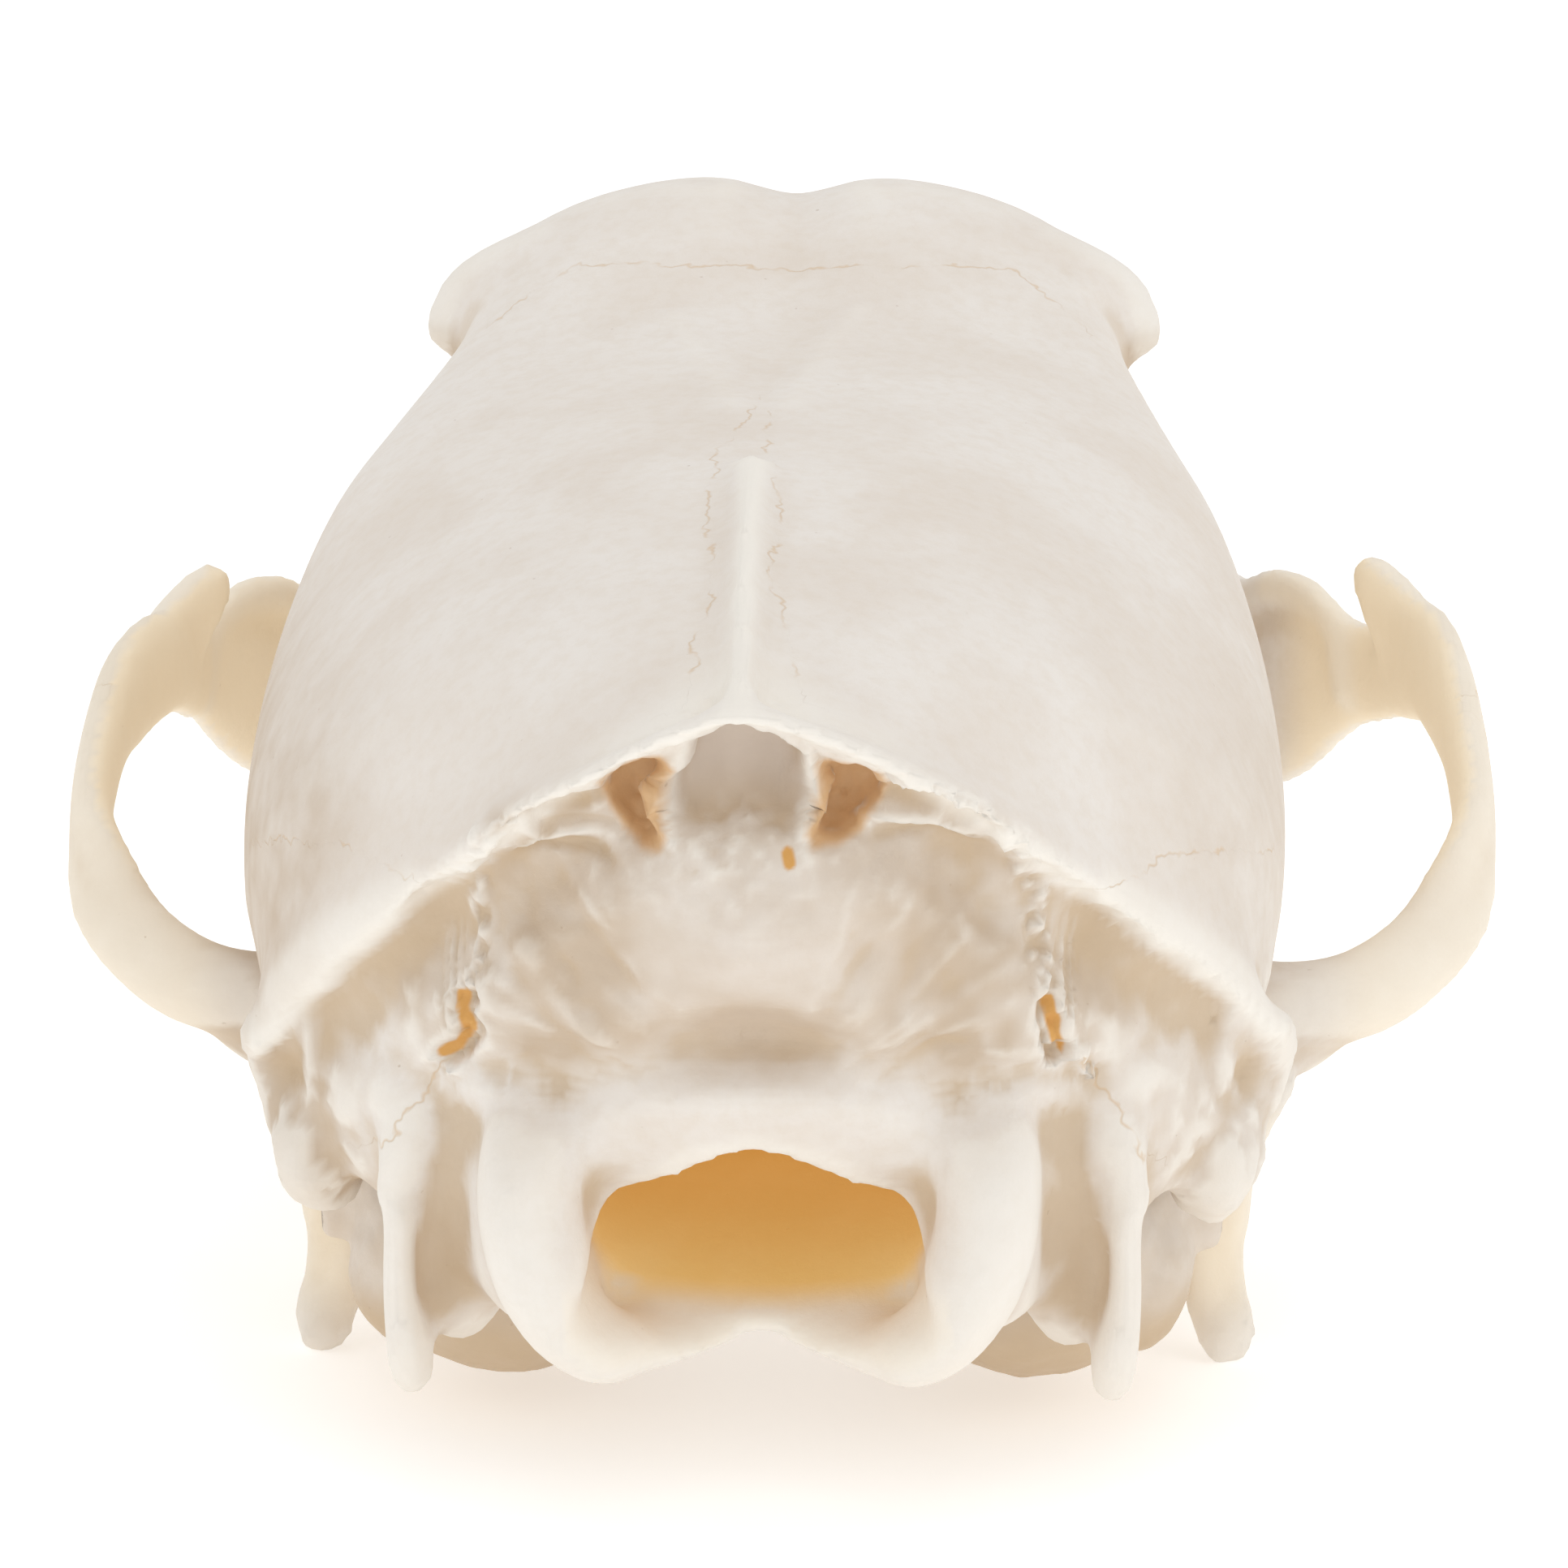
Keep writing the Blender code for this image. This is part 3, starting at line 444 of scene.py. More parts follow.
def eye_rim_path(side):
    """The rim's places on one side; the right one stands further in and a little higher."""
    inward, upward = (2.7, 0.9) if side > 0 else (0.0, 0.0)
    shares = [1.0] * (len(EYE_RIM) - 1) + [0.6]
    return [(x - inward * share, y, z + upward) for share, (x, y, z) in zip(shares, EYE_RIM)]


def arch_forms(side):
    """Cheek arch with its upward spur, and the rim in front of the eye.

    The two sides differ a little: the left arch is lower behind its spur, and on the
    right the eye's rim stands further in."""
    reach = CHEEK_HALF_WIDTH
    right = 1.0 if side > 0 else 0.0
    left = 1.0 - right
    arch = [
        (22.0, 35.0, 6.0, 4.6, 2.8, 0),
        (27.5, 33.8, 6.1, 3.9, 2.3, -8),
        (32.5, 34.5, 6.6, 3.1, 2.5, -25),
        (36.7, 37.4, 9.0, 1.8, 2.5, -46),
        (reach - 1.3, 42.0, 12.3, 1.3, 3.0, -8),
        (reach - 1.2, 48.0, 15.3, 1.3, 3.1, -4),
        (reach - 1.8, 54.0, 17.1 - 0.5 * left, 1.4, 3.9 - 0.2 * left, -2),
        (reach - 3.4 + 0.6 * right, 60.0, 17.4 - 0.7 * left, 1.3, 3.7 - 0.3 * left, 4),
        (36.5 - 0.6 * right, 66.0, 14.1 + 0.5 * right, 1.2, 3.2, 2),
        (35.7 - 2.2 * right, 70.5, 12.6 + 0.3 * right, 1.3, 3.9, 2),
        (33.2 - 2.8 * right, 75.5, 9.2 + 1.1 * right, 1.7, 5.2 + 0.9 * right, 8),
        (30.6 - 2.4 * right, 79.5, 7.8 + 0.7 * right, 2.1, 5.2 + 0.7 * right, 12),
        (27.4 - 1.4 * right, 82.5, 7.6, 2.6, 6.4, 12),
        (21.5, 87.0, 6.4, 3.4, 8.0, 6),
        (15.0, 92.0, 6.0, 3.6, 9.0, 0),
    ]
    spur = [
        (37.3, 61.4, 13.0, 3.6, 0.9, 90),
        (37.0, 62.4, 16.3 + 0.4 * right, 3.0, 1.0, 90),
        (35.2, 64.2, 19.2 + 0.9 * right, 2.2, 1.1, 90),
        (33.9, 65.2, 20.7 + 1.2 * right, 1.2, 1.0, 90),
    ]
    blade = [
        (37.4, 59.5, 18.4 - 1.2 * left, 1.0, 2.2, 0),
        (36.8, 62.0, 18.9 - 0.8 * left + 0.4 * right, 1.05, 1.9, 0),
        (35.3, 63.8, 19.7 + 1.1 * right, 1.1, 1.5, 0),
        (33.9, 65.2, 20.5 + 1.3 * right, 1.0, 1.1, 0),
    ]
    eye_rim = [(*place, *size, 0) for place, size in zip(eye_rim_path(side), EYE_RIM_SIZES)]
    eye_rim += [
        (25.0, 84.5, 13.4, 2.2, 3.0, 0),
        (21.5, 86.8, 16.0, 2.4, 3.2, 0),
        (18.0, 88.6, 22.0, 2.8, 3.2, 0),
        (15.0, 87.6, 29.0, 2.8, 3.2, 0),
    ]
    cheek = [
        (27.0 - right, 83.4, 7.6, 2.6, 4.0, 0),
        (22.6, 87.0, 12.0, 3.2, 4.2, 0),
        (18.6, 89.4, 18.0, 3.2, 4.2, 0),
        (15.0, 90.0, 24.5, 3.0, 4.0, 0),
    ]
    return [bar_form(rows, side) for rows in (arch, spur, blade, eye_rim, cheek)]


def crest_forms():
    """Ridge along the middle of the dome and the lip of the nuchal crest."""
    apex = CREST_APEX
    ridge = [
        (apex[0], apex[1] + 0.4, apex[2] - 0.8, 0.8, 1.4, 0),
        (-0.8, 3.0, 36.0, 0.6, 1.4, 0),
        (-1.0, 12.0, 36.9, 0.55, 1.2, 0),
        (-1.1, 22.0, 37.8, 0.6, 1.0, 0),
        (-1.2, 31.0, 38.1, 0.7, 0.6, 0),
    ]

    def lip(side):
        table = [
            (apex[0] * side - 0.6, apex[1] + 0.6, apex[2] - 0.9, 2.4, 1.1, -62),
            (3.4, -1.6, 33.6, 2.5, 1.0, -58),
            (7.0, -0.4, 31.0, 2.6, 1.0, -52),
            (12.4, 2.8, 26.9, 2.7, 1.0, -46),
            (17.0, 6.8, 22.4, 2.7, 1.0, -42),
            (21.2, 10.8, 18.2, 2.7, 1.0, -38),
            (24.6, 14.6, 13.8, 2.5, 1.0, -34),
            (26.2, 17.8, 9.8, 1.9, 1.3, -30),
            (25.2, 19.0, 6.0, 1.6, 1.6, 0),
        ]
        return [bar_form(table, side)]
    return [bar_form(ridge)] + both(lip)


def forehead_process_forms(side):
    """Process over the eye with the edges that run back and forward from it."""
    table = [
        (14.0, 74.5, 36.6, 4.6, 3.4, 0),
        (18.0, 73.8, 35.6, 3.6, 2.6, 0),
        (20.0, 72.6, 34.2, 2.6, 2.0, 0),
        (21.4, 71.6, 32.9, 1.3, 1.2, 0),
    ]
    behind = [
        (18.6, 73.0, 35.0, 2.0, 1.8, 0),
        (15.6, 69.4, 36.2, 2.0, 1.6, 0),
        (12.4, 64.6, 36.2, 2.0, 1.4, 0),
        (8.4, 58.6, 35.4, 2.0, 1.2, 0),
    ]
    ahead = [
        (18.4, 74.6, 34.6, 2.2, 1.8, 0),
        (17.8, 78.6, 33.2, 1.9, 1.7, 0),
        (16.2, 83.2, 31.4, 1.8, 1.7, 0),
        (14.6, 87.6, 28.6, 1.8, 1.8, 0),
    ]
    return [bar_form(table, side), bar_form(behind, side), bar_form(ahead, side)]


# Roots of the cheek teeth: across, forward and half width of each one's swelling
CHEEK_TOOTH_ROOTS = [(17.4, 96.4, 1.9), (21.2, 87.4, 2.1), (22.0, 81.4, 1.9), (21.6, 77.0, 1.7),
                     (13.8, 106.0, 1.6), (14.7, 101.6, 1.6), (12.2, 115.2, 1.5), (12.4, 111.2, 1.5),
                     (11.4, 120.6, 1.4)]


def tooth_root_forms(side):
    """Swellings of the upper jaw over the roots of the canine and the cheek teeth."""
    canine = [
        (11.4, 129.0, -7.0, 2.3, 3.4, 0),
        (11.2, 127.4, -1.0, 2.6, 3.6, 0),
        (10.8, 124.6, 5.6, 2.2, 3.0, 0),
        (9.6, 120.6, 11.6, 1.4, 1.8, 0),
    ]
    forms = [bar_form(canine, side)]
    for x, y, half in CHEEK_TOOTH_ROOTS:
        forms.append(egg_form((x - 2.0, y, -1.6), (2.1, half + 0.5, 6.2), side, count=24))
    return forms


def rear_forms(side):
    """Condyle and its neck, the processes beside it, jaw joint and the process behind it."""
    edge = CONDYLE_HALF_WIDTH
    tip = RETROARTICULAR_TIP
    condyle = [
        (edge - 2.8, 6.6, 12.4, 1.9, 1.8, 0),
        (edge - 2.5, 4.2, 10.4, 2.6, 2.4, 0),
        (edge - 2.5, 2.9, 7.0, 2.7, 2.6, 0),
        (edge - 3.5, 2.5, 3.4, 2.8, 2.6, 0),
        (edge - 5.6, 2.9, 0.4, 2.8, 2.3, 0),
        (edge - 7.4, 4.2, -0.9, 2.0, 1.5, 0),
    ]
    jugular = [
        (17.6, 10.2, 11.6, 3.1, 2.6, 0),
        (18.0, 8.2, 8.0, 1.6, 2.4, 0),
        (18.5, 7.4, 4.2, 0.9, 2.2, 0),
        (18.6, 7.0, 0.8, 0.9, 2.0, 0),
        (18.1, 6.8, -2.6, 1.3, 1.9, 0),
        (17.9, 7.4, -5.0, 0.95, 1.2, 0),
    ]
    behind_joint = [
        (25.2, 32.5, 3.4, 4.8, 2.0, 0),
        (24.2, 31.2, -1.6, 3.0, 1.6, 0),
        (24.0, 30.2, -6.0, 2.6, 1.2, 0),
        (24.6, 29.2, -9.6, 2.1, 1.3, 0),
        (tip[0], tip[1], tip[2] + 1.3, 1.7, 1.6, 0),
        (tip[0], tip[1] - 0.2, tip[2] - 0.1, 1.0, 0.9, 0),
    ]
    wing = [
        (16.2, 9.8, 11.0, 2.0, 2.6, 0),
        (15.9, 9.6, 7.4, 2.2, 2.4, 0),
        (15.5, 9.8, 4.4, 2.4, 2.3, 0),
        (15.1, 10.2, 1.0, 2.7, 2.0, 0),
        (15.4, 10.6, -1.8, 2.5, 1.5, 0),
        (15.9, 10.8, -3.6, 1.5, 0.9, 0),
    ]
    return [
        bar_form(condyle, side),
        bar_form(wing, side),
        egg_form((11.4, 8.0, 5.6), (4.2, 5.0, 7.0), side),
        egg_form((16.5, 11.5, 10.5), (8.5, 3.8, 7.6), side, turn=28),
        bar_form(jugular, side),
        egg_form((18.2, 12.0, 2.0), (1.4, 3.8, 5.6), side),
        egg_form((23.4, 16.4, 5.2), (2.7, 4.0, 4.2), side),
        egg_form((24.2, 35.5, 3.8), (7.4, 5.2, 2.8), side),
        bar_form(behind_joint, side),
    ]


def rear_middle_forms():
    """Swelling over the great hole, the arch above it and the sill below."""
    arch = [
        (-11.5, 6.2, 9.0, 2.4, 3.0, 0),
        (-7.0, 5.0, 11.4, 2.2, 2.4, 0),
        (0.0, 3.8, 13.6, 2.2, 2.2, 0),
        (7.0, 5.0, 11.4, 2.2, 2.4, 0),
        (11.5, 6.2, 9.0, 2.4, 3.0, 0),
    ]
    sill = [
        (-9.0, 3.8, -0.6, 2.0, 1.1, 0),
        (-6.0, 4.6, -1.1, 2.4, 1.0, 0),
        (-3.0, 6.4, -0.8, 2.4, 0.9, 0),
        (0.0, 7.6, -0.2, 2.4, 0.8, 0),
        (3.0, 6.4, -0.8, 2.4, 0.9, 0),
        (6.0, 4.6, -1.1, 2.4, 1.0, 0),
        (9.0, 3.8, -0.6, 2.0, 1.1, 0),
    ]
    return [egg_form((-0.4, 4.0, 22.4), (5.8, 3.6, 5.2)), bar_form(arch), bar_form(sill)]


def capsule_forms(side):
    """Ear capsule with the short lip of its canal."""
    lip = [
        (18.0, 24.4, -1.0, 3.4, 3.4, 0),
        (22.0, 24.2, -1.2, 3.2, 3.2, 0),
        (24.6, 23.9, -1.4, 2.4, 2.5, 0),
    ]
    return [egg_form((14.6, 23.8, -2.4), (8.2, 10.6, 8.2), side, turn=-14, count=64),
            egg_form((19.4, 21.4, -4.0), (3.4, 4.8, 4.8), side), bar_form(lip, side)]


# Openings

# Upper edge of the great hole from the middle out: share of its half width and height
HOLE_ARCH = [(0.0, 1.0), (0.12, 0.975), (0.25, 0.89), (0.42, 0.74), (0.6, 0.57), (0.72, 0.49),
             (0.84, 0.42), (0.93, 0.26), (1.0, 0.0)]
HOLE_HALF_WIDTH = 8.6
HOLE_TOP = 11.0
HOLE_WIDEST_LEVEL = 4.2
HOLE_FLOOR = 0.3
# Brain's room: place along Y, half width, middle level, reach up and down, share of the round room
BRAIN_ROOM = [(9.5, 9.0, 6.5, 6.5, 4.6, 0.45), (12.5, 12.5, 9.0, 11.0, 6.2, 0.85),
              (18.0, 18.0, 14.0, 16.0, 10.0, 1.0), (26.0, 21.5, 17.0, 16.5, 12.5, 1.0),
              (36.0, 22.5, 18.5, 15.0, 13.5, 1.0), (44.0, 20.0, 20.0, 12.5, 12.0, 1.0),
              (50.0, 13.0, 21.0, 9.0, 8.0, 1.0), (53.0, 4.0, 21.5, 3.0, 3.0, 1.0)]


def great_hole_form():
    """Room behind the great hole: the hole's outline that opens into the brain's round room."""
    rise, drop = HOLE_TOP - HOLE_WIDEST_LEVEL, HOLE_WIDEST_LEVEL - HOLE_FLOOR
    count = 64
    angle = np.linspace(0, 2 * math.pi, count, endpoint=False)
    c, s = np.cos(angle), np.sin(angle)
    shares, heights = np.array(HOLE_ARCH).T
    x = c * HOLE_HALF_WIDTH - 0.2
    above = HOLE_WIDEST_LEVEL + rise * np.interp(np.abs(c), shares, heights)
    below = HOLE_WIDEST_LEVEL - drop * np.abs(s) ** 0.7
    mouth = np.stack([x, np.where(s >= 0, above, below)], 1)
    rings = []
    for y, lift in ((-6.0, -1.4), (3.0, -0.3), (7.0, 0.2)):
        rings.append(np.column_stack([mouth[:, 0], np.full(count, y), mouth[:, 1] + lift]))
    for y, half, middle, up, down, share in BRAIN_ROOM:
        room = np.column_stack([half * c, middle + np.where(s >= 0, up, down) * s])
        outline = mouth * (1 - share) + room * share
        rings.append(np.column_stack([outline[:, 0], np.full(count, y), outline[:, 1]]))
    return [lofted(rings)]


def nose_hole_form():
    """Room behind the nose opening."""
    table = [
        (96.0, 3.0, 10.0, 15.0, 6.0, 2.0, 2.0, 0.0),
        (104.0, 5.6, 8.5, 19.0, 1.5, 2.2, 2.2, 0.0),
        (122.0, 6.6, 7.0, 17.4, -1.2, 2.2, 2.2, 0.0),
        (134.0, 6.6, 6.0, 15.6, -1.8, 2.2, 2.2, 0.0),
        (150.0, 6.8, 6.0, 15.8, -1.2, 2.2, 2.2, 0.0),
    ]
    return [body_form(table, 2.0, count=48)]


def nose_scroll_forms():
    """Thin partition and scroll bones inside the nose."""
    forms = [egg_form((0.0, 112.0, 6.0), (0.7, 17.0, 8.6), count=32)]
    for side in (-1, 1):
        forms.append(egg_form((4.9, 113.0, 10.5), (2.6, 11.0, 3.0), side, count=32))
        forms.append(egg_form((5.0, 115.0, 2.4), (2.4, 10.0, 2.6), side, count=32))
    return forms


# Vessel and nerve holes of one side: where each starts inside and where it opens, with its radii there
VESSEL_HOLES = [
    ((9.5, 59.0, 10.5), (16.0, 66.0, 12.5), 1.0, 1.8),
    ((10.5, 54.0, 8.5), (17.0, 60.5, 10.0), 1.2, 2.3),
    ((11.5, 49.0, 6.0), (18.5, 55.0, 7.0), 1.0, 1.7),
    ((12.0, 70.0, 22.0), (20.0, 73.5, 23.0), 0.9, 1.2),
    ((6.5, 75.0, 3.0), (11.5, 73.5, 3.5), 1.3, 2.0),
    ((13.5, 91.0, 11.0), (13.0, 81.5, 13.5), 1.4, 2.4),
    ((15.6, 90.5, 24.0), (17.0, 84.0, 24.6), 0.9, 1.6),
    ((13.6, 90.5, 5.4), (17.6, 100.0, 4.2), 1.4, 2.6),
    ((7.2, 12.8, 0.0), (9.6, 11.0, -4.0), 0.9, 1.3),
    ((9.6, 16.4, 1.0), (11.2, 15.2, -4.0), 1.2, 1.8),
    ((12.4, 36.0, 4.0), (14.0, 37.6, -3.0), 1.2, 1.8),
    ((5.4, 91.0, -5.4), (5.4, 87.4, -10.0), 0.9, 1.4),
]
PALATE_SLOT = ((2.7, 133.0, -8.6), (1.25, 3.8, 3.2))


def vessel_hole_forms(side):
    """Vessel and nerve holes of one side and the slot in the palate's front."""
    forms = []
    for inner, outer, narrow, wide in VESSEL_HOLES:
        middle = tuple((a + b) / 2 for a, b in zip(inner, outer))
        between = (narrow + wide) / 2
        rows = [(*inner, narrow, narrow, 0), (*middle, between, between, 0), (*outer, wide, wide, 0)]
        forms.append(bar_form(rows, side, count=16, steps=4))
    forms.append(egg_form(*PALATE_SLOT, side, count=24))
    return forms


# Whole skull before it is parted

COARSE_VOXEL = 0.55
FINE_VOXEL = 0.59


def refined(target):
    """Split the faces of the back of the skull once more, for its finest forms."""
    shape = bmesh.new()
    shape.from_mesh(target.data)
    near = []
    for face in shape.faces:
        x, y, z = face.calc_center_median()
        if y < 7.0 and face.normal.y < 0.35 and abs(x) < 17.0 and z > 12.0:
            near.append(face)
    edges = list({edge for face in near for edge in face.edges})
    bmesh.ops.subdivide_edges(shape, edges=edges, cuts=1, use_grid_fill=True)
    bmesh.ops.triangulate(shape, faces=[face for face in shape.faces if len(face.verts) > 4])
    shape.to_mesh(target.data)
    shape.free()
    return target


def ease_brow(target):
    """Let the forehead run down into the nose bones without a step."""
    x, y, z = points_of(target).T
    along = ramp(y, 79.0, 84.0) * (1 - ramp(y, 97.0, 103.0))
    eased(target, along * ramp(z, 24.0, 29.0) * (np.abs(x) < 15), 120)


def ease_nose(target):
    """Round the rim of the nose opening."""
    x, y, z = points_of(target).T
    eased(target, ramp(y, 122.0, 127.0) * (1 - ramp(np.abs(x), 9.5, 11.5)) * (z > -4.0), 30)


def ease_sill(target):
    """Run the great hole's floor out between the condyles without a step."""
    points, normals = points_of(target), normals_of(target)
    x, y, z = points.T
    upward = ramp(normals[:, 2] - 0.6 * normals[:, 1] - 0.5 * np.abs(normals[:, 0]), -0.5, 0.1)
    low = (1 - ramp(z, 2.6, 4.4)) * (z > -2.6)
    near = low * (1 - ramp(np.abs(x + 0.2), 8.6, 10.2)) * (1 - ramp(y, 8.0, 12.0))
    eased(target, upward * near, 60)


def whole_skull():
    """All bones but the ear capsules as one even skin, in the skull's own frame."""
    forms = braincase_forms() + snout_forms() + base_forms() + crest_forms() + rear_middle_forms()
    forms += both(arch_forms) + both(forehead_process_forms)
    forms += both(rear_forms) + both(tooth_root_forms)
    whole = remeshed(mesh_from("whole", forms), COARSE_VOXEL, 8)
    flow_to_crest(whole)
    ease_brow(whole)
    set_in_back(whole)
    for form in back_hollows():
        carved(whole, mesh_from("hollow", [form]))
    carved(whole, mesh_from("great_hole", great_hole_form()))
    carved(whole, mesh_from("nose_hole", nose_hole_form()))
    for form in nose_scroll_forms():
        carved(whole, mesh_from("nose_scroll", [form]), "UNION")
    carved(whole, mesh_from("vessel_holes", both(vessel_hole_forms)))
    ease_sill(whole)
    ease_nose(whole)
    whole = remeshed(whole, FINE_VOXEL, 2)
    refined(whole)
    roughen_back(whole)
    return mark_bone(whole)


# Fine forms of the back of the skull

# Level of the nuchal crest across the skull
CREST_LINE = [(-26.6, 11.0), (-23.9, 14.5), (-20.9, 18.6), (-17.7, 22.7), (-14.1, 26.2), (-12.4, 28.0),
              (-9.9, 30.3), (-6.6, 32.7), (-3.9, 34.4), (-0.7, 35.7), (2.4, 34.5), (6.6, 32.5),
              (10.5, 29.7), (12.5, 27.9), (14.5, 25.8), (16.6, 23.8), (20.9, 19.3), (24.0, 15.6),
              (26.6, 12.4)]
# How far the back face is set in under the crest, from the middle out
CREST_OVERHANG = [(0.0, 2.6), (5.0, 2.5), (8.0, 2.5), (11.5, 2.2), (14.0, 1.3), (18.0, 1.0), (26.0, 0.8)]
CREST_EDGE = [(-27.2, 18.0, 9.8), (-24.0, 13.5, 14.6), (-21.0, 10.0, 18.6), (-17.7, 6.6, 22.7),
              (-14.1, 2.6, 26.4), (-12.4, 1.2, 28.2), (-9.9, -0.4, 30.4), (-6.6, -1.5, 32.7),
              (-3.9, -2.4, 34.4), (-0.7, -3.0, 35.7), (2.4, -2.6, 34.6), (6.6, -1.6, 32.6),
              (10.5, 0.0, 29.8), (12.5, 1.4, 27.9), (14.5, 3.0, 25.9), (16.6, 5.2, 23.8),
              (20.9, 10.0, 19.3), (24.0, 13.5, 15.6), (27.2, 18.0, 10.2)]
# Outlines on the back face, across and up
RECESS = [(-3.4, 33.0), (-2.0, 33.9), (-0.6, 34.1), (0.7, 33.8), (1.6, 33.0), (2.1, 32.0), (2.5, 30.8),
          (2.7, 29.7), (2.3, 28.8), (1.2, 28.0), (-0.7, 27.6), (-2.4, 27.6), (-3.6, 28.0), (-4.4, 29.1),
          (-4.6, 29.9), (-4.1, 31.1), (-3.6, 32.1)]
PIT_LEFT = [(-7.6, 31.2), (-6.2, 32.0), (-4.7, 32.2), (-4.1, 31.5), (-4.6, 30.7), (-4.8, 29.8),
            (-4.7, 28.8), (-4.5, 28.1), (-4.8, 27.4), (-5.6, 27.4), (-6.5, 28.1), (-7.1, 29.0),
            (-7.5, 30.0)]
PIT_RIGHT = [(3.0, 31.9), (4.3, 32.1), (5.9, 31.6), (6.3, 30.7), (6.0, 29.9), (5.3, 29.0), (5.0, 28.2),
             (3.9, 27.8), (2.8, 27.8), (2.5, 28.5), (2.9, 29.5), (3.1, 30.5)]
DROP = [(0.9, 28.6), (1.7, 28.5), (1.95, 27.7), (1.85, 27.1), (1.5, 26.8), (1.1, 27.1), (1.05, 27.8)]
CONDYLE = [(10.6, 11.2), (12.6, 12.6), (13.8, 12.7), (14.4, 10.5), (14.5, 7.5), (13.5, 3.0),
           (11.6, -0.2), (8.0, -2.4), (5.6, -2.4), (7.0, 0.4), (8.5, 3.0), (9.1, 6.0), (9.6, 9.0)]
# Lines on the back face, across and up, with their height and half width
BACK_LINES = [
    ([(-12.3, 26.7), (-11.1, 27.5), (-9.7, 27.9), (-8.3, 27.8), (-7.2, 27.5)], 0.9, 0.7),
    ([(-11.6, 26.4), (-9.7, 27.0), (-8.3, 26.9), (-6.9, 26.6)], -0.35, 0.6),
    ([(-12.6, 28.1), (-11.4, 29.0), (-10.0, 29.5), (-8.0, 29.8)], -0.8, 0.9),
    ([(5.4, 28.8), (6.8, 29.1), (8.9, 29.0), (10.7, 27.8)], 0.9, 0.7),
    ([(5.8, 30.3), (7.5, 30.4), (9.8, 29.7), (11.4, 28.6)], -0.8, 0.8),
    ([(5.2, 28.0), (7.0, 28.1), (8.9, 28.0)], -0.25, 0.6),
    ([(-3.6, 32.6), (-4.2, 31.0), (-4.6, 29.9), (-4.5, 28.7), (-4.0, 27.8)], 1.0, 0.7),
    ([(2.4, 32.6), (2.8, 31.0), (2.7, 29.9), (2.5, 29.0), (2.3, 28.2)], 1.0, 0.7),
    ([(-9.8, 24.7), (-8.7, 23.0), (-7.0, 21.2), (-5.3, 18.6), (-4.0, 16.7)], -0.35, 1.3),
    ([(5.7, 25.0), (5.2, 22.4), (4.3, 20.1), (3.2, 17.5)], -0.35, 1.3),
    ([(-12.3, 22.6), (-10.8, 20.2), (-8.9, 17.9), (-7.1, 15.6)], 0.5, 1.5),
    ([(9.9, 22.6), (8.5, 20.2), (7.3, 18.0), (5.2, 15.7)], 0.5, 1.5),
    ([(-17.0, 12.6), (-14.6, 14.0), (-12.6, 14.4), (-10.4, 14.0)], -0.6, 1.5),
    ([(16.6, 12.8), (14.4, 14.2), (12.4, 14.5), (10.2, 14.1)], -0.6, 1.5),
]
# Dents in the back face: across, up, half width, half height, depth
BACK_DENTS = [(-0.6, 17.2, 4.2, 2.0, 0.6), (2.1, 16.3, 1.9, 0.7, 0.3), (-10.7, 15.6, 2.4, 1.2, 0.9),
              (9.6, 16.2, 2.4, 1.2, 0.9), (-15.8, 21.5, 1.8, 2.6, 0.8), (16.4, 20.5, 1.8, 2.6, 0.8)]
RAY_CENTRE = (0.0, 12.0)
SIDE_SEAM_LEFT = [(-13.6, 1.8, 27.0), (-14.0, 3.2, 24.5), (-14.1, 3.5, 23.1), (-13.8, 3.3, 21.3),
                  (-14.8, 4.5, 17.8), (-15.2, 5.4, 14.5), (-16.8, 7.1, 12.6), (-18.1, 7.4, 10.0),
                  (-19.6, 7.5, 8.6)]
SIDE_SEAM_RIGHT = [(12.6, 1.6, 27.4), (12.8, 2.1, 26.1), (13.6, 3.0, 23.5), (14.1, 3.6, 20.0),
                   (14.7, 4.6, 17.0), (15.1, 5.2, 15.3), (16.1, 6.2, 14.2), (17.7, 7.8, 11.6),
                   (19.5, 7.4, 8.5)]
SLIT_LEFT = [(-14.8, 4.5, 17.8), (-15.0, 4.7, 17.0), (-14.6, 4.6, 16.3), (-14.7, 4.8, 15.6),
             (-15.2, 5.4, 14.7), (-16.0, 6.1, 14.2)]
SLIT_RIGHT = [(14.3, 4.2, 18.0), (14.6, 4.5, 16.8), (14.7, 4.7, 15.9), (15.1, 5.2, 14.9)]
# Spongy stretch under the crest on the right, across and up
SPONGE_LINE = [(6.3, 31.4), (7.9, 31.1), (9.3, 30.5), (10.9, 29.3)]
# Edges of the jaw muscles' field on the dome, across and forward
DOME_LINES = ([(-2.3, 42.0), (-3.6, 49.0), (-5.2, 55.0), (-6.6, 60.5)],
              [(0.5, 43.0), (1.4, 50.0), (2.5, 56.5), (4.0, 61.5)])


def line_at(table, value):
    """Level of a two-column table at some values."""
    keys, levels = np.array(table).T
    return np.interp(value, keys, levels)


def below_crest(points):
    """How far a point lies under the nuchal crest's line."""
    return line_at(CREST_LINE, points[:, 0]) - points[:, 2]


def facing_back(points, normals):
    """1 on the back face of the skull, falling to 0 where the surface turns away."""
    lean = np.clip(points[:, 0] / 26.0, -1, 1) * 0.75
    back = np.stack([lean, -np.ones(len(points)), np.zeros(len(points))], 1)
    back /= np.linalg.norm(back, axis=1, keepdims=True)
    share = ramp((normals * back).sum(1), -0.15, 0.35) * (points[:, 1] < 24)
    return share * ramp(points[:, 2], 4.0, 8.0), back


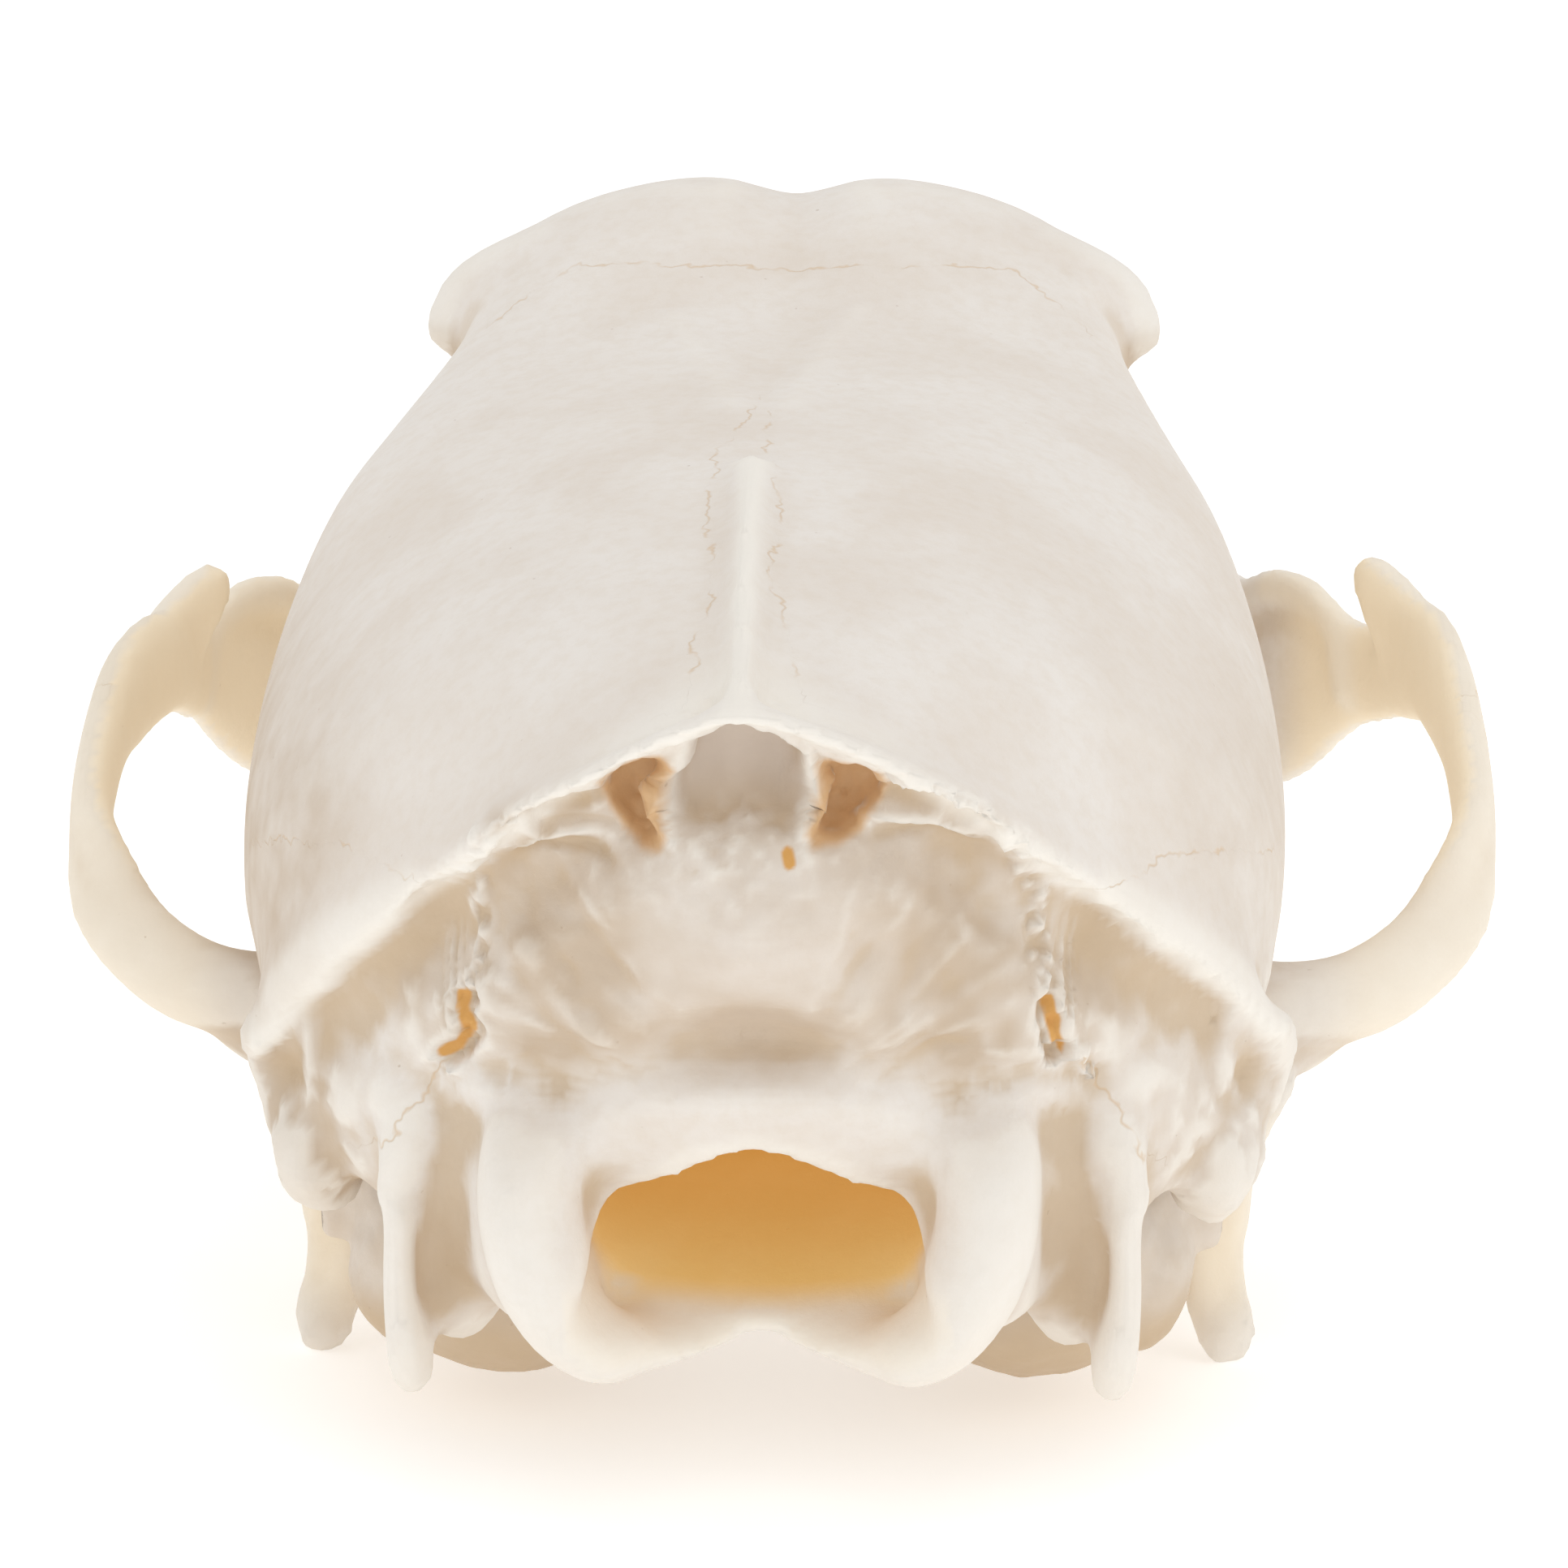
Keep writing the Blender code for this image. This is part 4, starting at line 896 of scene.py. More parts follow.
def inside_outline(flat, outline):
    """Signed distance to a closed outline: positive inside it."""
    closed = np.vstack([outline, outline[:1]])
    gap, _ = to_path(flat, closed)
    inside = np.zeros(len(flat), bool)
    for (x0, z0), (x1, z1) in zip(closed, closed[1:]):
        if z0 == z1:
            continue
        crosses = (flat[:, 1] >= min(z0, z1)) & (flat[:, 1] < max(z0, z1))
        inside ^= crosses & (flat[:, 0] < x0 + (flat[:, 1] - z0) * (x1 - x0) / (z1 - z0))
    return np.where(inside, gap, -gap)


def flow_to_crest(target):
    """Let the dome rise in a hollow sweep to the edge of the nuchal crest."""
    points = points_of(target)
    gap, _ = to_path(points, CREST_EDGE)
    above = ramp(-below_crest(points), 0.1, 0.7)
    beside = ramp(np.abs(points[:, 0] + 0.9), 0.9, 2.4)
    band = ramp(gap, 0.5, 1.6) * (1 - ramp(gap, 6.0, 10.0))
    eased(target, above * band * np.maximum(beside, 1 - ramp(gap, 1.0, 2.2)), 220)


def set_in_back(target):
    """Set the back face in under the crest's lip and shape its broad swellings and hollows."""
    points, normals = points_of(target), normals_of(target)
    x, y, z = points.T
    share, back = facing_back(points, normals)
    under = below_crest(points)
    side = np.abs(x + 0.3)
    depth = line_at(CREST_OVERHANG, np.abs(x + 0.7)) * ramp(under, 0.1, 0.9)
    depth = depth * (1 - ramp(under, 3.8, 8.5))
    # Shallow fields on both sides of the middle swelling, and the valley over the great hole
    depth = depth + 1.2 * bump(side - 9.4, 4.6) * bump(z - 20.5, 6.5)
    valley = 16.6 - 0.03 * x**2
    over_hole = (1.3 + 0.9 * bump(side, 6.0)) * bump(z - valley, 3.0)
    depth = depth + over_hole * (1 - ramp(side, 10.0, 14.5))
    depth = depth - 1.1 * bump(np.hypot(x / 1.3, z - 23.2), 4.6)
    high = ramp(z, 7.0, 11.0)
    points = points - back * (depth * share * high * (y < 13.0))[:, None]
    # Articular faces of the condyles, and the hollow between condyle and hanging process
    flat = np.column_stack([side, points[:, 2]])
    rear = ramp(-normals[:, 1], -0.3, 0.2)
    push = 1.25 * ramp(inside_outline(flat, np.array(CONDYLE)), -1.4, 2.4) * (y < 9)
    gap = ramp(side, 14.1, 15.0) * (1 - ramp(side, 16.5, 17.3))
    gap = gap * ramp(z, -6.0, -3.0) * (1 - ramp(z, 5.0, 14.0))
    bottom = 7.4 - 1.8 * ramp(z, 3.0, 11.0)
    push = push - np.maximum(bottom - y, 0) * gap
    set_points(target, points - np.outer(push * rear, (0, 1, 0)))


def pocket_form(outline, depths, seed, jitter, count=120):
    """Pocket with a ragged outline across and up; depths are y and the share of the outline."""
    outline = np.array(outline)
    closed = np.vstack([outline[-1:], outline, outline[:2]])
    keyed = np.column_stack([np.arange(len(closed)), closed])
    edge = smooth_rows(keyed, np.linspace(1, len(outline) + 1, count, endpoint=False))[:, 1:]
    middle = edge.mean(0)
    rings = []
    for y, size in depths:
        ring = middle + (edge - middle) * size
        spots = np.column_stack([ring[:, 0], np.full(count, y), ring[:, 1]])
        out = (ring - middle) / np.linalg.norm(ring - middle, axis=1)[:, None]
        ring = ring + out * (jitter * wobble(spots, 1.1, seed, 2))[:, None]
        rings.append(np.column_stack([ring[:, 0], np.full(count, y), ring[:, 1]]))
    return lofted(rings)


def back_hollows():
    """The two pits beside the recess and the drop-shaped vessel hole under it."""
    deep = [(-3.2, 1.0), (-1.0, 1.0), (0.6, 0.98), (1.8, 0.88), (2.9, 0.7), (3.6, 0.4)]
    drop = [(-3.0, 0.8), (0.4, 0.8), (2.2, 0.7)]
    return [pocket_form(PIT_LEFT, deep, 2, 0.35), pocket_form(PIT_RIGHT, deep, 3, 0.35),
            pocket_form(DROP, drop, 4, 0.05)]


def add_ledges(raised, points, shaken):
    """Recess in the middle, ledges and dents."""
    x, _, z = points.T
    vault = ramp(inside_outline(shaken, np.array(RECESS)), -0.2, 1.3)
    raised -= vault * (1.8 * ramp(z, 27.0, 31.5) + 0.1)
    for number, (path, height, half) in enumerate(BACK_LINES):
        gap, along = to_path(shaken, path)
        fade = np.sin(np.pi * np.clip(along, 0.03, 0.97)) ** 0.4
        raised += height * bump(gap, half) * fade * (1 + 0.4 * wobble(points, 2.4, 40 + number, 2))
    for across, up, half, tall, deep in BACK_DENTS:
        raised -= deep * np.exp(-((x - across) / half) ** 2 - ((z - up) / tall) ** 2)


def add_streaks(raised, target, points, share, under):
    """Streaks that run towards the hollow over the great hole, and the masks that colour them."""
    x, _, z = points.T
    outer = ramp(np.abs(x), 14.6, 16.6)
    rise = z - RAY_CENTRE[1] - 16.0 * outer
    out = np.hypot(x - RAY_CENTRE[0], rise)
    ray = np.arctan2(x - RAY_CENTRE[0], rise)
    lanes = np.column_stack([ray * 16.0, out / 5.0, np.zeros(len(points))])
    field = ramp(z, 13.0, 16.0) * ramp(under, 2.2, 4.5)
    field = field * ramp(np.abs(x + 0.5), 3.0, 7.0) * (np.abs(x) < 24)
    beside = 0.9 * outer * ramp(z, -1.0, 3.0) * ramp(under, 1.6, 3.6) * (np.abs(x) < 26.5)
    field = np.maximum(field, beside)
    broad = wobble(lanes * (0.8, 1.0, 1.0), 1.0, 3, 2) * field
    fine = wobble(lanes * (1.5, 1.3, 1.0), 1.0, 4) * field
    raised += 0.09 * broad + 0.05 * fine + 0.22 * wobble(points, 3.0, 5, 2) * field
    raised += 0.05 * wobble(points, 0.9, 6) * field
    clear = 1 - bump(np.abs(x) - 15.2, 2.2)
    set_mask(target, "ray", ray * 14.0)
    set_mask(target, "out", out / 3.2)
    set_mask(target, "streak", field * share * clear * (0.75 + 0.25 * wobble(points, 4.0, 7)))


def add_seam_knobs(raised, points, flat, shaken):
    """Knobs and slits along the seams towards the ears."""
    for number, path in enumerate((SIDE_SEAM_LEFT, SIDE_SEAM_RIGHT)):
        gap, _ = to_path(flat, np.array(path)[:, ::2])
        knobs = np.clip(wobble(points, 0.9, 11 + number, 2) + 0.15, -0.2, 1.0)
        raised += 0.6 * bump(gap, 1.2) * knobs * (points[:, 2] > 13)
    for path, half in ((SLIT_LEFT, 0.45), (SLIT_RIGHT, 0.4)):
        gap, _ = to_path(shaken, np.array(path)[:, ::2])
        raised -= 0.9 * (1 - ramp(gap, half * 0.6, half * 1.8))


def rough_spots(points):
    """Knobbly corner under the crest's end, process behind the jaw joint and lines on the dome."""
    x, y, z = points.T
    corner = ramp(np.abs(x), 19.5, 22.5) * (1 - ramp(z, 9.0, 12.5)) * ramp(z, -1.5, 1.0) * (y < 21)
    knob = (1 - ramp(z, -10.5, -8.5)) * (np.abs(x) > 20) * (y > 24) * (y < 34)
    rough = corner * (0.28 * wobble(points, 1.6, 51, 2) + 0.25 * wobble(points, 3.2, 52))
    rough += knob * 0.22 * wobble(points, 1.5, 53, 2)
    level = np.column_stack([x, y])
    lines = np.minimum(*(to_path(level, path)[0] for path in DOME_LINES))
    rough += 0.16 * bump(lines, 2.2) * (z > 33) * ramp(y, 39.0, 44.0)
    return rough


def roughen_back(target):
    """Fine forms of the back face, the crest's rough lip and the other rough spots."""
    points, normals = points_of(target), normals_of(target)
    x, y, z = points.T
    share, _ = facing_back(points, normals)
    share = share * (y < 22)
    under = below_crest(points)
    flat = np.column_stack([x, z])
    shaken = flat + 0.28 * np.column_stack([wobble(points, 1.3, 31, 2), wobble(points, 1.3, 32, 2)])
    raised = np.zeros(len(points))
    add_ledges(raised, points, shaken)
    add_streaks(raised, target, points, share, under)
    add_seam_knobs(raised, points, flat, shaken)
    # Ragged rims of the recess and the pits, then the spongy lip
    rims = bump(np.hypot((x + 0.9) / 1.25, z - 29.8), 9.0) * (under > 0.3)
    raised += 0.2 * wobble(points, 0.9, 21, 2) * rims
    sponge, _ = to_path(flat, SPONGE_LINE)
    raised += 0.5 * bump(sponge, 0.9) * wobble(points, 0.6, 22, 2)
    lip = bump(under - 0.9, 1.5)
    raised += lip * 0.16 * wobble(points, 0.8, 23, 2)
    raised += 0.25 * wobble(points, 2.4, 25) * lip
    moved = raised * np.maximum(share, lip * (y < 20)) + rough_spots(points)
    set_points(target, points + normals * moved[:, None])


def seam_distance(points, path, toward):
    """Signed distance to a path: positive on the side that the given direction points to."""
    path = np.asarray(path, float)
    gap, _ = to_path(points, path)
    best = np.full(len(points), 1e9)
    sign = np.ones(len(points))
    for start, end in zip(path, path[1:]):
        along = end - start
        t = np.clip(((points - start) @ along) / (along @ along), 0.0, 1.0)
        away = points - start - t[:, None] * along
        near = np.linalg.norm(away, axis=1)
        across = np.asarray(toward, float) - along * ((toward @ along) / (along @ along))
        nearer = near < best
        sign = np.where(nearer, np.sign(away @ across + 1e-9), sign)
        best = np.where(nearer, near, best)
    return gap * sign


CREST_SEAM_LEFT = [(-1.2, 44.0, 37.4), (-2.3, 37.2, 37.6), (-3.1, 34.2, 37.6), (-3.2, 29.9, 37.6),
                   (-3.4, 24.1, 37.3), (-2.9, 19.3, 37.0), (-3.0, 16.9, 36.8), (-2.6, 12.0, 36.3),
                   (-3.3, 8.5, 35.7), (-3.2, 5.1, 35.1), (-4.0, -2.6, 35.3)]
CREST_SEAM_RIGHT = [(-0.6, 42.1, 37.5), (-0.6, 36.9, 37.7), (0.0, 32.2, 37.7), (0.1, 27.3, 37.7),
                    (0.5, 24.4, 37.4), (0.4, 20.2, 37.2), (0.2, 14.6, 36.8), (0.9, 11.2, 36.3),
                    (1.5, 6.8, 35.6), (1.9, 4.0, 35.1), (3.0, -2.9, 35.4)]
SCALE_SEAM = [(27.4, 33.0, 10.0), (26.6, 26.0, 18.0), (24.8, 18.0, 21.2), (20.8, 11.5, 23.4),
              (17.6, 5.8, 23.8)]

# Seams of the face, palate and base: path, the axis it is laid flat along, the side its distance counts
# from, and where it holds as lowest and highest x across, y and z
FACE_SEAMS = [
    ([(0.0, 86.0, 0.0), (0.2, 100.0, 0.0), (-0.2, 116.0, 0.0), (0.0, 134.0, 0.0)],
     2, (1, 0, 0), (0, 3, 84, 140, 12, 60)),
    ([(1.2, 83.0, 0.0), (3.4, 91.0, 0.0), (4.4, 104.0, 0.0), (5.2, 118.0, 0.0), (6.0, 131.0, 0.0)],
     2, (1, 0, 0), (0, 9, 80, 134, 12, 60)),
    ([(0.0, 83.0, 38.0), (0.0, 87.0, 31.0), (0.0, 88.5, 23.0), (0.0, 92.0, 16.0)],
     0, (0, 1, 0), (4, 20, 80, 96, 12, 40)),
    ([(0.0, 108.0, 27.5), (0.0, 116.0, 21.0), (0.0, 124.0, 12.5), (0.0, 130.0, 3.0), (0.0, 134.0, -6.0)],
     0, (0, 1, 0), (5, 20, 104, 137, -9, 26)),
    ([(0.0, 90.0, 16.0), (0.0, 91.5, 9.0), (0.0, 88.0, 3.0), (0.0, 82.0, 0.5)],
     0, (0, 1, 0), (16, 40, 78, 96, -1, 18)),
    ([(0.0, 50.0, 18.6), (0.0, 56.0, 15.8), (0.0, 62.0, 12.8), (0.0, 68.0, 10.4)],
     0, (0, 0, 1), (38.4, 42, 48, 70, 8, 22)),
    ([(17.0, 65.0, 0.0), (13.0, 68.1, 0.0), (6.0, 66.6, 0.0), (0.0, 67.2, 0.0)],
     2, (0, 1, 0), (0, 18, 62, 72, 34, 60)),
    ([(0.0, 72.0, 0.0), (0.1, 100.0, 0.0), (0.0, 139.0, 0.0)],
     2, (1, 0, 0), (0, 3, 70, 142, -12, -5)),
    ([(16.0, 84.0, 0.0), (9.0, 92.0, 0.0), (3.0, 94.0, 0.0), (0.0, 92.5, 0.0)],
     2, (0, 1, 0), (0, 17, 82, 98, -12, -5)),
    ([(12.0, 132.0, 0.0), (6.0, 127.0, 0.0), (0.0, 127.5, 0.0)],
     2, (0, 1, 0), (0, 13, 122, 136, -12, -5)),
    ([(9.0, 29.0, 0.0), (4.0, 30.2, 0.0), (0.0, 29.6, 0.0)],
     2, (0, 1, 0), (0, 10, 26, 33, -6, 1)),
    ([(7.0, 46.0, 0.0), (3.0, 45.4, 0.0), (0.0, 45.8, 0.0)],
     2, (0, 1, 0), (0, 8, 42, 50, -6, 2)),
]


def face_seams(points, best):
    """Bring the seams of the face, palate and base into the nearest signed seam distance."""
    folded = np.abs(points) * (1, 0, 0) + points * (0, 1, 1)
    for path, axis, toward, (x0, x1, y0, y1, z0, z1) in FACE_SEAMS:
        within = np.all((folded > (x0 - 1e-6, y0, z0)) & (folded < (x1, y1, z1)), axis=1)
        flat, level = folded[within], np.array(path)
        if len(level) and abs(level[0][0]) < 0.1 and toward[0] == 1:
            flat = points[within]
        flat = flat * (np.arange(3) != axis)
        gap = seam_distance(flat, level * (np.arange(3) != axis), np.array(toward, float))
        best[within] = nearer(best[within], gap)
    return best


def relief(target):
    """How much each point lies in a hollow and on an edge, against its own surroundings."""
    points, normals = points_of(target), normals_of(target)
    ends = np.empty(len(target.data.edges) * 2, dtype=np.int32)
    target.data.edges.foreach_get("vertices", ends)
    start, end = ends.reshape(-1, 2).T
    count = len(points)
    linked = np.bincount(start, minlength=count) + np.bincount(end, minlength=count)
    spread, kept = points.copy(), []
    for step in range(1, 91):
        total = np.column_stack([np.bincount(start, spread[end, axis], count)
                                 + np.bincount(end, spread[start, axis], count) for axis in range(3)])
        spread = 0.3 * spread + 0.7 * total / np.maximum(linked, 1)[:, None]
        if step in (8, 90):
            kept.append(((spread - points) * normals).sum(1))
    fine, broad = kept
    deep_shade = np.clip(ramp(broad, 0.03, 0.75) * 0.85 + ramp(fine, 0.01, 0.09) * 0.45, 0, 1)
    return deep_shade, ramp(-fine, 0.015, 0.12)


# Numbers that each point of the bone carries for its finish, painted shade, highlights and glow among
# them
MASKS = ("crest_and_highlight", "thin", "painted_shade", "pit", "recess", "inside", "seam", "slit", "seam_near", "streak", "ray",
         "out", "deep_shade", "edge")


def mark_plain(target):
    """Give a piece all the masks that the bone's finish reads, at rest."""
    count = len(target.data.vertices)
    for name in MASKS:
        set_mask(target, name, np.full(count, 99.0 if name in ("seam", "slit") else 0.0))


# Painted shade on the back face's fields, alike left and right: strength, middle and reach across, then
# up
BACK_SHADE_FIELDS = [(0.75, 9.6, 6.5, 21.0, 8.5), (0.6, 17.0, 5.0, 18.0, 6.0), (0.6, 10.4, 3.6, 15.6, 2.4)]
# Small slit of the vessel hole under the recess
DROP_SLIT = [(1.5, -0.8, 27.6), (1.6, -0.8, 27.2)]
SLITS = [(SLIT_LEFT, 0.34), (SLIT_RIGHT, 0.3), (DROP_SLIT, 0.3)]


def brain_room(points, normals):
    """1 on the walls of the braincase's hollow, where light comes through."""
    x, y, z = points.T
    side = np.abs(x)
    vault = (x / 23.4) ** 2 + ((z - 17.5) / np.where(z > 17.5, 17.4, 14.6)) ** 2 < 1
    mouth = (side < 9.2 + ramp(y, 8, 15) * 5) & (z > 0.2)
    room = np.where(y < 15, mouth, vault) * (y < 56) * (z < 35)
    inward = ramp(((np.array([0.0, 30.0, 17.0]) - points) * normals).sum(1), -2.0, 4.0)
    start = 7.2 - 1.6 * (1 - ramp(z, 1.5, 5.0))
    return room * inward * ramp(y - start, 0.0, 2.6)


def eye_rims(points):
    """1 along the outer part of both lower eye rims."""
    rim = 0.0
    for mirror in (-1, 1):
        path = np.array(eye_rim_path(mirror)[:6]) * (mirror, 1, 1) + (0.0, -0.6, 0.4)
        rim = np.maximum(rim, bump(to_path(points, path)[0], 1.9))
    return rim


def painted_shade_strength(points, normals, rear, under, bowl):
    """How much painted shade lies on each point: hollows, fields and creases of the back face,
    undersides, the cheek arches, and more on the left, which the lamps light less.
    """
    x, y, z = points.T
    side = np.abs(x)
    painted_shade = 0.7 * bowl * rear
    for strength, across, wide, up, tall in BACK_SHADE_FIELDS:
        painted_shade = painted_shade + strength * bump(side - across, wide) * bump(z - up, tall) * rear
    painted_shade = painted_shade + 0.5 * bump(under - 2.2, 1.6) * bump(side - 10.5, 4.5) * rear
    painted_shade = painted_shade + 0.42 * rear * ramp(z, 13.0, 17.0) * ramp(under, 0.8, 2.5)
    gap = [to_path(points[:, ::2], BACK_LINES[number][0])[0] for number in (2, 4)]
    painted_shade = painted_shade + 0.8 * bump(np.minimum(*gap), 1.2) * rear
    # Between condyle and hanging process
    low = (1 - ramp(z, 11.0, 14.0)) * (z > -7)
    painted_shade = painted_shade + 0.75 * bump(side - 15.6, 2.4) * ramp(y, 6.0, 9.5) * (y < 16) * low
    # Painted shade on the sides of the dome, more on the left, under the forehead, on the cheek arches,
    # the underside and the corners
    flank = ramp(side, 15.0, 23.0) * (1 - ramp(z, 20.0, 33.0)) * ramp(y, 8.0, 15.0) * (y < 60)
    painted_shade = painted_shade + (0.3 + 0.4 * (x < 0)) * flank
    brow = ramp(y, 58.0, 66.0) * ramp(side, 13.0, 18.0) * (z > 18)
    painted_shade = painted_shade + brow * ramp(-normals[:, 2], -0.45, 0.2)
    painted_shade = painted_shade + 0.15 * ramp(side, 29.0, 33.0) + 0.35 * ramp(-normals[:, 2], 0.1, 0.8) * (z < 8)
    painted_shade = painted_shade + 0.25 * bump(side - 22.5, 6.0) * (1 - ramp(z, 10.0, 15.0)) * (y < 22) * (z > -2)
    return painted_shade * (1 + 0.25 * wobble(points, 2.5, 71, 2) + 0.3 * wobble(points, 1.0, 72))


def nearer(best, gap):
    """The smaller of two signed distances, by size."""
    return np.where(np.abs(gap) < np.abs(best), gap, best)


def bone_seams(points):
    """Signed distance to the nearest seam of the dome, the back, the face and the base."""
    _, y, z = points.T
    right = np.array([1.0, 0.0, 0.0])
    best = seam_distance(points, CREST_SEAM_RIGHT, -right)
    best = nearer(best, seam_distance(points, CREST_SEAM_LEFT, right))
    best = np.where(y > 1.5, best, 9.0)
    for mirror in (-1, 1):
        path = np.array(SCALE_SEAM) * (mirror, 1, 1)
        best = nearer(best, seam_distance(points, path, np.array([0.0, 0.0, 1.0])))
    for path, toward in ((SIDE_SEAM_LEFT, right), (SIDE_SEAM_RIGHT, -right)):
        gap = seam_distance(points * (1, 0, 1), np.array(path) * (1, 0, 1), toward)
        best = nearer(best, np.where((y < 14.0) & (z < 14.6), gap, 99.0))
    return face_seams(points, best)


def mark_bone(target):
    """Masks of the whole skull: a whiter crest with painted highlights, painted glow on thin places,
    painted shade in pits, hollows and fields, the braincase's inside and seams.
    """
    mark_plain(target)
    points, normals = points_of(target), normals_of(target)
    x, y, z = points.T
    share, _ = facing_back(points, normals)
    rear = share * (y < 22)
    under = below_crest(points)
    side = np.abs(x)
    flat = points[:, ::2]
    # Whiter crest lip and ridge, painted light on the great hole's sill and painted highlights on the
    # outer eye rims
    lip = bump(under - 0.5, 1.6) * (y < 19) * (side < 27)
    ridge = bump(x + 0.95, 1.3) * (y > -3.5) * (y < 31) * (z > 34)
    sill = (side < 9.6) * (1 - ramp(z, 3.2, 4.6)) * (1 - ramp(y, 9.0, 13.0)) * (z > -2.6)
    sill = sill * ramp(normals[:, 2], -0.4, 0.3)
    rim = eye_rims(points)
    set_mask(target, "crest_and_highlight", np.clip(lip + ridge + sill + rim, 0, 1))
    set_mask(target, "inside", np.maximum(brain_room(points, normals), 0.03 * sill * ramp(y, 2.0, 5.0)))
    # Painted shade: orange-brown inside the two pits
    pits = np.maximum(*[inside_outline(flat, np.array(outline)) for outline in (PIT_LEFT, PIT_RIGHT)])
    set_mask(target, "pit", ramp(pits, -0.35, 0.15) * (y < 6) * ramp(y, -1.6, 0.2) * share)
    # Painted grey shade in the recess under the crest, in the hollow over the great hole and on the
    # middle of the back face
    bowl = np.exp(-((x + 0.6) / 4.2) ** 2 - ((z - 17.5) / 2.0) ** 2)
    niche = ramp(inside_outline(flat, np.array(RECESS)), -0.3, 0.9) * (y < 4) * ramp(z, 27.8, 31.6)
    middle = 0.2 * bump(side, 8.0) * bump(z - 22.5, 7.0) + 0.5 * bowl
    set_mask(target, "recess", np.maximum(niche, middle * (y < 22)) * share)
    # Painted shade in hollows, more in the hollow over the great hole, and painted highlights on raised
    # edges, from the relief
    deep_shade, edge = relief(target)
    set_mask(target, "edge", edge * (1 - 0.75 * share * bump(side - 8.0, 9.0) * bump(z - 20.0, 8.0)))
    crown = ramp(y, 1.0, 5.0) * ramp(z, 31.0, 34.0) * (1 - ramp(side, 12.0, 16.0)) * (y < 84)
    set_mask(target, "deep_shade", np.maximum(deep_shade * (1 - 0.8 * crown), 0.75 * bowl * rear) * (1 - rim))
    # Painted yellow glow of light through the thin cheek arches and plates behind the jaw joints, on the
    # eye rims and the sill
    thin = 0.9 * ramp(-normals[:, 0] * np.sign(x), 0.0, 0.5) * ramp(side, 29.0, 32.0) * ramp(y, 34, 42)
    thin = np.maximum(thin, 0.35 * ramp(side, 29.0, 33.0)) * (1 - rim) + 0.5 * rim
    behind = 0.7 * bump(side - 24.4, 4.2) * bump(y - 29.5, 5.0) * (z < 1.5) * ramp(z, -12.5, -8.0)
    set_mask(target, "thin", np.clip(thin + behind + 0.2 * sill, 0, 1))
    # Painted shade where the light reaches less
    set_mask(target, "painted_shade", np.clip(painted_shade_strength(points, normals, rear, under, bowl) * (1 - rim), 0, 1))
    seam = bone_seams(points)
    set_mask(target, "seam", np.clip(seam, -9, 9))
    set_mask(target, "seam_near", 1 - ramp(np.abs(seam), 1.8, 3.0))
    jag = 0.14 * wobble(points, 0.9, 61, 2)
    slit = np.full(len(points), 9.0)
    for path, half in SLITS:
        gap = to_path(flat, np.array(path)[:, ::2])[0] + jag * (len(path) > 2)
        slit = np.minimum(slit, np.where(y < 12.0, gap - half, 9.0))
    set_mask(target, "slit", slit)
    return target
def colour(value):
    """Linear colour with alpha from three screen values 0 to 255."""
    linear = [c / 255 / 12.92 if c <= 10.3 else ((c / 255 + 0.055) / 1.055) ** 2.4 for c in value]
    return (*linear, 1.0)


def tint(name, description, value):
    """A colour that a user can change."""
    return bpy.props.FloatVectorProperty(name=name, description=description, subtype="COLOR", size=4,
                                         min=0.0, max=1.0, default=colour(value))


def measure(name, description, low, high, default):
    """A length that a user can change."""
    return bpy.props.FloatProperty(name=name, description=description, subtype="DISTANCE", unit="LENGTH",
                                   min=low, max=high, default=default)


class SkullLook(bpy.types.PropertyGroup):
    """Colours and fine relief of the bone, the teeth and the floor"""
    bone_light: tint("Light bone", "Main colour of the dry bone", (237, 231, 224))
    bone_shade: tint("Clouded bone", "Second colour of the bone's faint clouds", (231, 222, 212))
    # Colour of the painted shade, on the fields and undersides that the light reaches less
    painted_shade_tint: tint("Tan bone", "Colour of the stained and shaded fields", (202, 183, 161))
    # Colour of the whiter crest, of the painted highlights on the eye rims and of the painted light on
    # the great hole's sill
    crest_and_highlight_tint: tint("Worn edge", "Colour of the crest and the worn edges", (243, 238, 229))
    inner_glow: tint("Inner glow", "Light that comes through the braincase's thin walls", (206, 170, 98))
    tooth_crown: tint("Tooth crown", "Main colour of the enamel", (238, 229, 208))
    tooth_shade: tint("Tooth shade", "Second colour of the enamel's faint clouds", (230, 215, 184))
    tooth_root: tint("Tooth neck", "Colour of a tooth where it leaves the jaw", (222, 200, 162))
    floor_tint: tint("Floor", "Colour of the plain floor", (247, 247, 246))
    glow_strength: bpy.props.FloatProperty(
        name="Glow strength", description="Strength of the inner glow", min=0.0, max=2.0, default=0.28)
    relief_depth: measure("Relief depth", "Depth of the bone's finest relief", 0.0, 0.002, 0.0004)
    seam_width: measure("Seam width", "Half width of the lines where bones meet",
                        0.00002, 0.001, 0.00014)


class SkullSizes(bpy.types.PropertyGroup):
    """Sizes of the teeth, the stage and the camera's lens"""
    canine_length: measure("Canine length", "How far the canines stand out", 0.005, 0.0166, 0.0166)
    incisor_count: bpy.props.IntProperty(name="Incisors", description="Number of teeth in the front row",
                                         min=2, max=8, default=6)
    incisor_height: measure("Incisor height", "Height of the middle incisors' crowns",
                            0.002, 0.006, 0.0048)
    floor_reach: measure("Floor reach", "Half the length of the floor's side", 0.5, 10.0, 3.0)
    lens: bpy.props.FloatProperty(name="Lens", description="Focal length of the camera", unit="CAMERA",
                                  min=50.0, max=300.0, default=130.25)
    light_strength: bpy.props.FloatProperty(name="Light strength", description="Factor on all lights",
                                            min=0.1, max=5.0, default=1.0)


# Finishes

